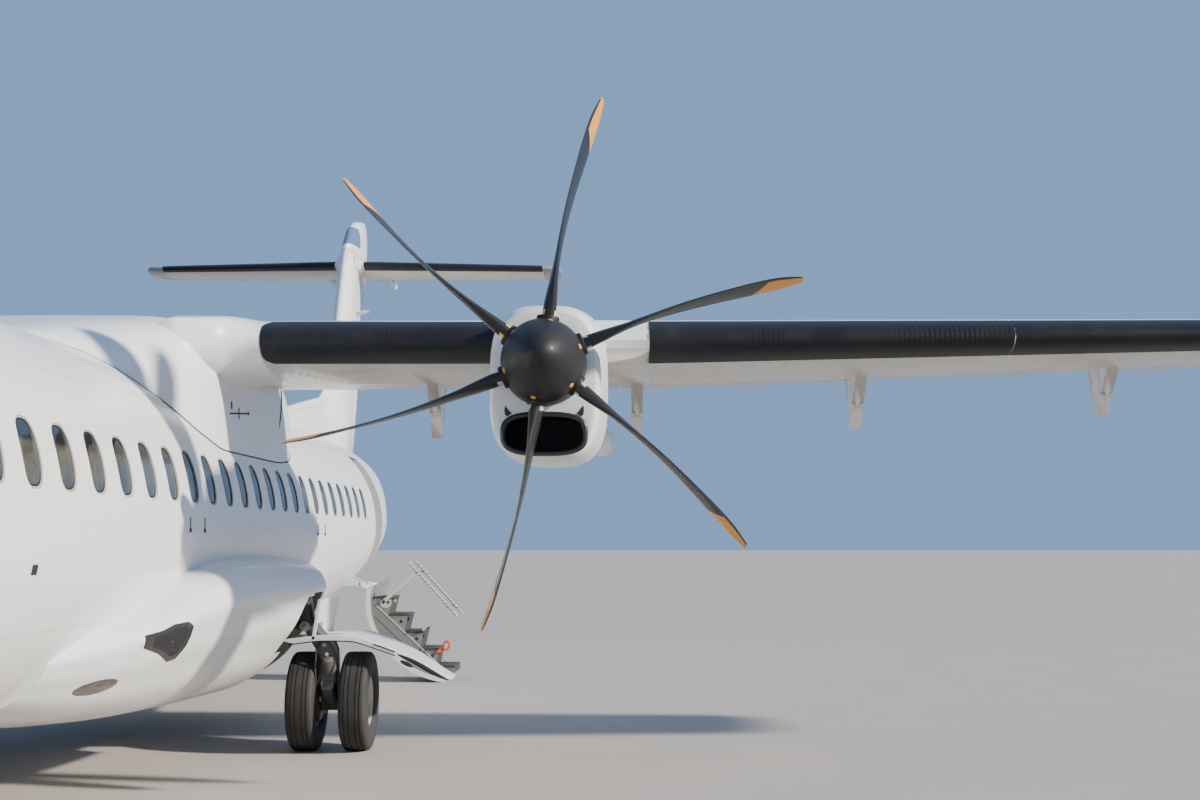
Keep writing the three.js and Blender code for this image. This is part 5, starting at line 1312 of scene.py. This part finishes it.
BRAKE = [(0.094, 0.06), (0.094, 0.15), (0.104, 0.165), (0.155, 0.165), (0.165, 0.15), (0.165, 0.06)]
leg.append(cross_bar("bearing", x - 0.083, x + 0.083, y, z, 0.084, gear_dark, 32, 0.006))
for s in (-1, 1):
    leg += [cross_bar("pivot", x + s * 0.055, x + s * 0.088, line, 0.64, 0.05, gear_pale, 24, 0.005),
            cross_bar("bolt", x + s * 0.08, x + s * 0.1, line, 0.64, 0.026, bare_steel, 6, 0.002),
            spun("brake", [(s * a, b) for a, b in BRAKE], (x, y, z), 48, gear_dark)]
    for k in range(5):
        angle = 2 * math.pi * (k + 0.3) / 5
        leg.append(cross_bar("piston", x + s * 0.082, x + s * 0.1, y + 0.12 * math.cos(angle),
                             z + 0.12 * math.sin(angle), 0.026, gear_pale, 20, 0.003))
    hose = [(x + s * 0.05, line - 0.1, 1.0), (x + s * 0.1, line - 0.13, 0.88), (x + s * 0.105, line - 0.13, 0.7),
            (x + s * 0.09, line - 0.07, 0.58), (x + s * 0.085, y - 0.09, 0.52)]
    leg.append(tube("hose", rounded(hose, 22), 0.009, hose_black, 10))
brace = [(1.12, line + 0.02, 1.25), (1.5, line + 0.01, 1.17), (1.88, line, 1.09)]
leg += [tube("brace", brace, 0.044, gear_dark, 20),
        fore_bar("brace_eye", line - 0.105, line - 0.12, 1.86, 1.1, 0.045, gear_pale, 24, 0.004),
        fore_bar("brace_bolt", line - 0.115, line - 0.135, 1.86, 1.1, 0.022, bare_steel, 6, 0.002)]
leg += [fore_bar("clip", line - 0.1, line - 0.125, x - 0.03 + 0.02 * k, height, 0.016, gear_pale, 16, 0.002)
        for k, height in enumerate((0.94, 0.86, 0.78))]
both(joined("main_leg_port", leg), "main_leg", node_stem="main_gear_leg")

# Main gear doors. Each is a curved composite door with a rolled black seal, hung on the leg. It stands out
# over the wheels, with an upright closing plate along its inner edge.
MAIN_DOOR = [(1.69, 0.99), (2.06, 1.028), (2.25, 1.025), (2.48, 0.965), (2.79, 0.845), (3.04, 0.71), (3.155, 0.655)]
DOOR_ENDS = (12.15, 13.05)
DOOR_ROOT, DOOR_TIP = MAIN_DOOR[0][0], MAIN_DOOR[-1][0]
door_line = rounded(MAIN_DOOR, 40)
door_paint = painted("door_paint", dirt=0.7, steps=((1, 0.31, 0.05),))


def door_front(out):
    """The y of the door's front edge, which draws in near the tip."""
    return aft(DOOR_ENDS[0]) + 0.09 * max(0.0, (out - 2.9) / 0.255) ** 2


def door_rear(out):
    """The y of the door's rear edge, which sweeps forward towards the tip."""
    return aft(DOOR_ENDS[1]) - 0.52 * max(0.0, (out - 2.2) / 0.955) ** 1.6


rings = []
last = len(door_line) - 1
for k, (out, height) in enumerate(door_line):
    ahead, behind = door_line[min(k + 1, last)], door_line[max(k - 1, 0)]
    slope = Vector((ahead[0] - behind[0], 0, ahead[1] - behind[1])).normalized()
    normal = Vector((-slope[2], 0, slope[0]))
    taper = min(1.0, 0.35 + 6.0 * (DOOR_TIP - out), 0.5 + 6.0 * (out - DOOR_ROOT))
    front, rear = door_front(out), door_rear(out)
    deep = 0.031 * taper
    lip = 0.022 * min(1.0, 8 * (out - DOOR_ROOT), 5 * (DOOR_TIP - out))
    section = [(front + 0.006, 0.0), (front, -0.006), (front, -deep - lip), (front + 0.02, -deep - lip),
               (front + 0.024, -deep), (rear - 0.006, -deep), (rear, -deep + 0.006), (rear, -0.006),
               (rear - 0.006, 0.0)]
    rings.append([tuple(Vector((out, 0, height)) + normal * v + Vector((0, place, 0))) for place, v in section])
door = laid("door", rings, door_paint, 40)
UPRIGHT = [(1.932, 0.99), (1.984, 1.338), (2.008, 1.338), (1.956, 0.99)]
upright = laid("upright", [[(out, aft(end), height) for out, height in UPRIGHT] for end in DOOR_ENDS], door_paint)
for panel in (door, upright):
    carved(panel, slab((1.86, 2.17), (line - 0.13, line + 0.125), (0.9, 1.13), door_paint))
    smooth(panel, 40)
trims = [tube("seal", [(out, door_front(out) - 0.0005, height + low) for out, height in door_line[first:26]], 0.0055,
              seal_black, 8) for low, first in ((-0.050, 1), (-0.018, 20))]
trims.append(tube("seal", [(out, door_rear(out) - 0.03, height - 0.034) for out, height in door_line[2:34]], 0.008,
                  seal_black, 10))
edge = Vector((0, aft(DOOR_ENDS[0]), 0))
squeeze = Matrix.Translation(edge) @ Matrix.Diagonal((1, 0.3, 1, 1)) @ Matrix.Translation(-edge)
for low, start, stop, wide in ((-0.030, 2.66, 3.13, 0.022), (-0.075, 2.7, 2.83, 0.02)):
    slot = [(out, door_front(out) + 0.004, height + low)
            for out, height in rounded(MAIN_DOOR, 90) if start < out < stop]
    swell = [wide * max(0.2, math.sin(math.pi * (k + 0.5) / len(slot)) ** 0.6) for k in range(len(slot))]
    trims.append(tube("slot", slot, swell, seal_black, 16))
    trims[-1].data.transform(squeeze)
both(joined("main_door_port", [door, upright]), "main_door", node_stem="main_gear_door")
both(joined("main_door_seals_port", trims), "main_door_seals")

# Nose landing gear. A steel leg in the nose with a turning fork, twin small wheels and a door on each side.
NOSE_AXLE = (0.0, 1.73, 0.225)
NOSE_TWIN = 0.165
x, y, z = NOSE_AXLE[0], aft(NOSE_AXLE[1]), NOSE_AXLE[2]
tread = tyre_profile(0.092, z, [0.018, 0.045], 0.005, 0.003)
for side, sign in SIDES:
    tyre = spun(f"nose_tyre_{side}_ribbed", tread, (sign * NOSE_TWIN, y, z), 72, tyre_black, 42)
    settle(tyre, "nose_wheels", f"nose_tyre_{side}")
pair = [wheel("nose_wheel", (sign * NOSE_TWIN, y, z), 0.063, z, sign, 7) for sign in (1, -1)]
pair.append(cross_bar("axle", -0.15, 0.15, y, z, 0.0235, bare_steel, 24))
settle(joined("nose_wheels_set", pair), "nose_wheels", "nose_wheels")


def upright_rods(rows):
    """Round bars on the nose leg's axis. Rows: name, bottom, top, radius, finish, sides and rim."""
    return [rod(name, (0, y, low), (0, y, top), *finish_of) for name, low, top, *finish_of in rows]


fork = upright_rods([("fork", 0.25, 0.52, 0.040, chrome, 32, 0.003), ("fork", 0.50, 0.64, 0.046, gear_pale, 32, 0.004)])
fork.append(cross_bar("hub", -0.06, 0.06, y, z, 0.044, gear_pale, 32, 0.004))
for s in (-1, 1):
    for end in (0.56, 0.30):
        fork.append(rod("link", (s * 0.03, y + 0.1, 0.42), (s * 0.03, y + 0.035, end), 0.012, gear_pale, 16, 0.002))
fork.append(cross_bar("link_pin", -0.05, 0.05, y + 0.1, 0.42, 0.014, bare_steel, 16, 0.002))
settle(joined("nose_fork_set", fork), "nose_fork", "nose_gear_fork")
nose_leg = upright_rods([("leg", 0.6405, 1.149, 0.061, gear_pale, 36, 0.004),
                         ("collar", 0.642, 0.70, 0.074, gear_dark, 36, 0.006),
                         ("collar", 0.86, 0.94, 0.072, gear_dark, 36, 0.006)])
drag_brace = [(0, y + 0.02, 0.905), (0, y + 0.25, 0.99), (0, y + 0.475, 1.085)]
hose = [(0.05, y - 0.05, 1.12), (0.07, y - 0.06, 0.95), (0.066, y - 0.05, 0.8), (0.05, y - 0.06, 0.68)]
nose_leg += [tube("drag_brace", drag_brace, 0.031, gear_dark, 20),
             tube("hose", rounded(hose, 16), 0.008, hose_black, 10)]
LAMP_HEIGHT = 0.78
for s in (-1, 1):
    nose_leg += [fore_bar("lamp", y - 0.075, y - 0.02, s * 0.1, LAMP_HEIGHT, 0.05, gear_pale, 32, 0.008),
                 fore_bar("lamp_glass", y - 0.079, y - 0.07, s * 0.1, LAMP_HEIGHT, 0.044, screen_glass, 32, 0.003),
                 rod("lamp_arm", (s * 0.05, y - 0.03, LAMP_HEIGHT), (s * 0.08, y - 0.04, LAMP_HEIGHT), 0.012,
                     gear_dark, 12)]
settle(joined("nose_leg_set", nose_leg), "airframe", "nose_gear_leg")
rings = []
for place, tuck in ((1.5, 0.02), (1.52, 0.0), (1.88, 0.0), (2.23, 0.0), (2.249, 0.02)):
    low = 0.485 + tuck
    rings.append([(0.2295 - bow, aft(place), height) for bow, height in
                  ((0.0, 0.9), (0.0, 0.7), (0.004, 0.56), (0.012, low), (0.02, low), (0.021, 0.56), (0.02, 0.7),
                   (0.02, 0.9))])
both(laid("nose_door_port", rings, door_paint, 40), "nose_door", node_stem="nose_gear_door")
for side, _ in SIDES:
    for holder in frame["nodes"][f"engine_{side}"].material_slots:
        holder.material = metal_grey

# Airstair. The lower part of the cabin door carries five folding treads between two pressed side plates. It
# hangs on two pins at the sill, and swings down to the ground as a whole.
STAIR_HINGE = (1.2, 1.28)
STAIR_OPEN = math.radians(144.5)
TREADS = [(2.344 - 0.209 * i, 0.215 + 0.225 * i) for i in range(4, -1, -1)]
stair_grey = painted("stair_plate_grey", (0.185, 0.20, 0.19), 0.5, 1.0, (), (0.13, 0.115, 0.09))
stair_pale = painted("stair_pale", (0.55, 0.54, 0.47), 0.42, 1.0, (), (0.16, 0.14, 0.10))
tread_dark = painted("tread_dark", (0.03, 0.031, 0.032), 0.75, 1.0, (), (0.13, 0.115, 0.10))
cord_brown = painted("cord_brown", (0.20, 0.125, 0.055), 0.6, 1.0, (), (0.08, 0.06, 0.045))
grip_orange = painted("grip_orange", (0.72, 0.13, 0.025), 0.4, 0.6, (), (0.2, 0.07, 0.03))


def opened(piece):
    """Turns a piece about the stair hinge, from its place in the closed door down to the ground."""
    piece.data.transform(Matrix.Translation((STAIR_HINGE[0], 0, STAIR_HINGE[1])) @ Matrix.Rotation(STAIR_OPEN, 4, "Y")
                         @ Matrix.Translation((-STAIR_HINGE[0], 0, -STAIR_HINGE[1])))
    return piece


def plate(name, outline, y, material, rim=0.0):
    """A flat outline in the X-Z plane, carried from one Y to another, with its edges rounded where asked."""
    piece = laid(name, [[(x, place, z) for x, z in outline] for place in y], material)
    if rim:
        alone(piece)
        rimmed(piece, rim, 40)
        smooth(piece)
    return piece


def round_eye(x, z, y):
    """The round end of a hinge plate, from one y to another."""
    return rod("eye", (x, y[0], z), (x, y[1], z), 0.026, door_white, 32, 0.002)


def stair_skin(name, margin, grow, material):
    """The fuselage skin round the stair's doorway, grown outwards or shrunk."""
    return fuselage_skin(name, STAIR_DOORWAY[0] - margin, STAIR_DOORWAY[1] + margin, grow, material=material)


stair_front, stair_rear = aft(STAIR_DOORWAY[0]), aft(STAIR_DOORWAY[1])
panel = door_panel("airstair_panel", STAIR_DOORWAY, 1)
carved(panel, stair_skin("airstair_lining", 0.06, -0.0585, stair_grey))
LUG = [(1.05, 1.404), (1.12, 1.48), (1.224, 1.29), (1.176, 1.27)]
ARM = [(0.85, 1.25), (1.0, 1.384), (1.195, 1.304), (1.195, 1.256)]
lugs, arms = [], []
for y, inward in ((stair_front + 0.15, 1), (stair_rear - 0.15, -1)):
    span = sorted((y + inward * 0.039, y + inward * 0.069))
    lug = plate("lug", LUG, span, door_white)
    shell = stair_skin("shell", 0.02, 0.009, door_white)
    below = slab((0, 1.6), (stair_front - 0.3, stair_rear + 0.3), (1.0, STAIR_DOORWAY[2]), door_white)
    lugs += [carved(lug, carved(shell, below, "INTERSECT")), round_eye(*STAIR_HINGE, span)]
    span = sorted((y, y + inward * 0.036))
    arms += [plate("arm", ARM, span, door_white), round_eye(*STAIR_HINGE, span),
             fore_bar("pin", y + inward * 0.018, y + inward * 0.069, *STAIR_HINGE, 0.011, bare_steel, 20)]
smooth(panel)
settle(opened(joined("airstair_panel", [panel] + lugs)), "airstair", "airstair_door")
settle(joined("airstair_arms", arms), "airframe")
(head_x, head_z), (foot_x, foot_z) = TREADS[0], TREADS[-1]
saw = []
for x, z in TREADS:
    saw += [(x - 0.13, z - 0.002), (x + 0.13, z - 0.002)]
saw += [(foot_x + 0.13, -0.3), (head_x - 0.37, head_z - 0.4), (head_x - 0.16, head_z - 0.02)]
PLATES = [(stair_front + 0.06, stair_front + 0.082, -1), (stair_rear - 0.082, stair_rear - 0.06, 1)]
PLATE_WALL = 0.004
HEAD_HOLES = [(0.012, 0.017), (0.072, 0.022)]
FLANGES = [(0.09, 0.018, stair_pale), (0.235, 0.012, stair_grey)]
WEB = [(-0.125, -0.03), (0.12, -0.03), (0.115, -0.042), (-0.12, -0.042)]


def bore(x, z, radius, start, stop):
    """The cutter of a round hole through a side plate."""
    return fore_bar("hole", start - 0.02, stop + 0.02, x, z, radius, tread_dark, 28)


steps = []
for start, stop, outward in PLATES:
    side_plate = plate("side", saw, (start + PLATE_WALL, stop - PLATE_WALL), stair_grey)
    room = stair_skin("room", 0.02, -0.0603, stair_grey)
    carved(room, doorway(STAIR_DOORWAY, (-0.9, 1.6), -0.008, stair_grey), "INTERSECT")
    carved(side_plate, opened(room), "INTERSECT")
    holes = [bore(x + 0.035, z - 0.1, 0.023, start, stop) for x, z in TREADS[1:-1]]
    holes += [bore(head_x + place, head_z - 0.075, size, start, stop) for place, size in HEAD_HOLES]
    carved(side_plate, joined("holes", holes))
    smooth(side_plate)
    steps.append(side_plate)
    steps += [fore_bar("cup", start + 0.009, stop - 0.009, x + 0.035, z - 0.1, 0.0235, tread_dark, 28)
              for x, z in TREADS[1:-1]]
    proud = (start, start + PLATE_WALL) if outward < 0 else (stop - PLATE_WALL, stop)
    for low, depth, finish_of in FLANGES:
        head, foot = (head_x - 0.1, head_z - low - 0.02), (foot_x - 0.03, foot_z - low + 0.045)
        strip = [head, (head[0] + depth, head[1] + 0.006), (foot[0] + depth, foot[1] + 0.006), foot]
        steps.append(plate("flange", strip, proud, finish_of))
    steps += [plate("web", [(x + a, z + b) for a, b in WEB], proud, stair_grey) for x, z in TREADS]
    tab = [(head_x + 0.04 + 0.078 * math.cos(a), head_z - 0.08 + 0.066 * math.sin(a))
           for a in around(32)]
    tab = plate("tab", tab, proud, stair_pale)
    for place, size in reversed(HEAD_HOLES):
        carved(tab, bore(head_x + place, head_z - 0.075, size, start, stop))
    smooth(tab)
    steps.append(tab)
TREAD = [(-0.13, -0.024), (-0.13, -0.002), (-0.126, 0.0), (0.126, 0.0), (0.13, -0.002), (0.13, -0.024)]
TREAD_RIB = [(-0.006, -0.001), (0.006, -0.001), (0.004, 0.0025), (-0.004, 0.0025)]
RISER = [(-0.128, -0.02), (-0.118, -0.02), (-0.118, -0.09), (-0.128, -0.09)]


def slat(name, x, z, section, margin, material, rim=0.0):
    """A bar from side plate to side plate. Its section is given about the middle of a tread's top."""
    return plate(name, [(x + a, z + b) for a, b in section], (stair_front + margin, stair_rear - margin), material, rim)


for x, z in TREADS:
    steps.append(slat("tread", x, z, TREAD, 0.0605, tread_dark, 0.001))
    steps += [slat("rib", x - 0.1 + 0.05 * k, z, TREAD_RIB, 0.09, tread_dark) for k in range(5)]
    steps.append(slat("riser", x, z, RISER, 0.082, stair_grey))
settle(joined("airstair_treads", steps), "airstair", "airstair_steps")

# Handrails. Each is a tube on two flat posts that fold at their feet, wound with cord where hands hold it.
# An orange pull handle hangs on a strap at the front plate.
RAIL_POSTS = [((1.527, 1.055), (1.98, 1.47), 0.026), ((2.03, 0.67), (2.384, 0.993), 0.018)]
RAIL = ((1.85, 1.57), (2.5, 0.865))
CORD = {"turns": 15, "points": 15 * 14, "out": 0.0145, "thick": 0.0052}


def directions(low, top):
    """The direction from one point up to another beside the stair, and the one square to it."""
    run = (top - low).normalized()
    return run, Vector((-run[2], 0, run[0]))


for place, (start, stop, outward) in zip(("front", "aft"), PLATES):
    line = (start if outward < 0 else stop) + outward * 0.0143
    bars = []
    for (x0, z0), (x1, z1), wide in RAIL_POSTS:
        low, top = Vector((x0, line, z0)), Vector((x1, line, z1))
        side = directions(low, top)[1] * wide
        rim = [low + side, low - side, top - side * 0.8, top + side * 0.8]
        bars += [plate("post", [(p[0], p[2]) for p in rim], (line - 0.007, line + 0.007), stair_pale, 0.004),
                 fore_bar("pivot", line - 0.0135, line + 0.0135, x0, z0, 0.02, tread_dark, 24, 0.002),
                 fore_bar("joint", line - 0.012, line + 0.012, x1, z1, 0.017, stair_pale, 24, 0.002)]
    low, top = (Vector((x, line, z)) for x, z in RAIL)
    run, side = directions(low, top)
    length = (top - low).length
    rail = [low, low + run * length / 2, low + run * (length - 0.06), top - run * 0.02 + side * 0.002,
            top - side * 0.012]
    bars.append(tube("rail", rail, 0.0155, stair_pale, 16))
    cord = []
    for k in range(CORD["points"] + 1):
        angle = 2 * math.pi * CORD["turns"] * k / CORD["points"]
        cord.append(low + run * (0.02 + (length - 0.12) * k / CORD["points"])
                    + side * (CORD["out"] * math.cos(angle)) + Vector((0, CORD["out"] * math.sin(angle), 0)))
    bars.append(tube("cord", cord, CORD["thick"], cord_brown, 8))
    settle(joined(f"handrail_{place}_set", bars), "airstair", f"handrail_{place}")
line = stair_front + 0.052
GRIP = [(2.40, 0.515), (2.372, 0.535), (2.34, 0.52), (2.325, 0.475), (2.33, 0.44), (2.355, 0.425), (2.385, 0.44),
        (2.402, 0.48)]
STRAP = [(2.335, 0.475), (2.33, 0.41), (2.245, 0.375), (2.226, 0.39), (2.24, 0.425), (2.29, 0.45)]
loop = rounded([(x, line, z) for x, z in GRIP + GRIP[:3]], 40)
handle = [tube("loop", loop, 0.0165, grip_orange, 12),
          plate("strap", STRAP, (line - 0.005, line + 0.0075), grip_orange, 0.002)]
settle(joined("stair_grip", handle), "airstair")

# Floor, sky light and sun. The floor is plain and pale, and the sun stands low to port, a little ahead.
floor_pale = painted("floor_pale", (0.40, 0.37, 0.335), 0.8, 0.6, ())
bpy.ops.object.select_all(action="DESELECT")
bpy.ops.mesh.primitive_plane_add(size=700)
floor = bpy.context.object
floor.name = "floor"
floor.data.materials.append(floor_pale)
world = bpy.data.worlds.new("studio")
bpy.context.scene.world = world
world.use_nodes = True
world.node_tree.nodes["Background"].inputs["Color"].default_value = (0.26, 0.43, 0.74, 1)
world.node_tree.nodes["Background"].inputs["Strength"].default_value = 0.95
bpy.ops.object.light_add(type="SUN")
sun = bpy.context.object
sun.name = "sun"
sun.data.energy = 8.5
sun.data.color = (1.0, 0.93, 0.83)
sun.data.angle = math.radians(2.5)
sun.rotation_euler = Vector((-8, 2.2, -3.9)).to_track_quat("-Z", "Y").to_euler()
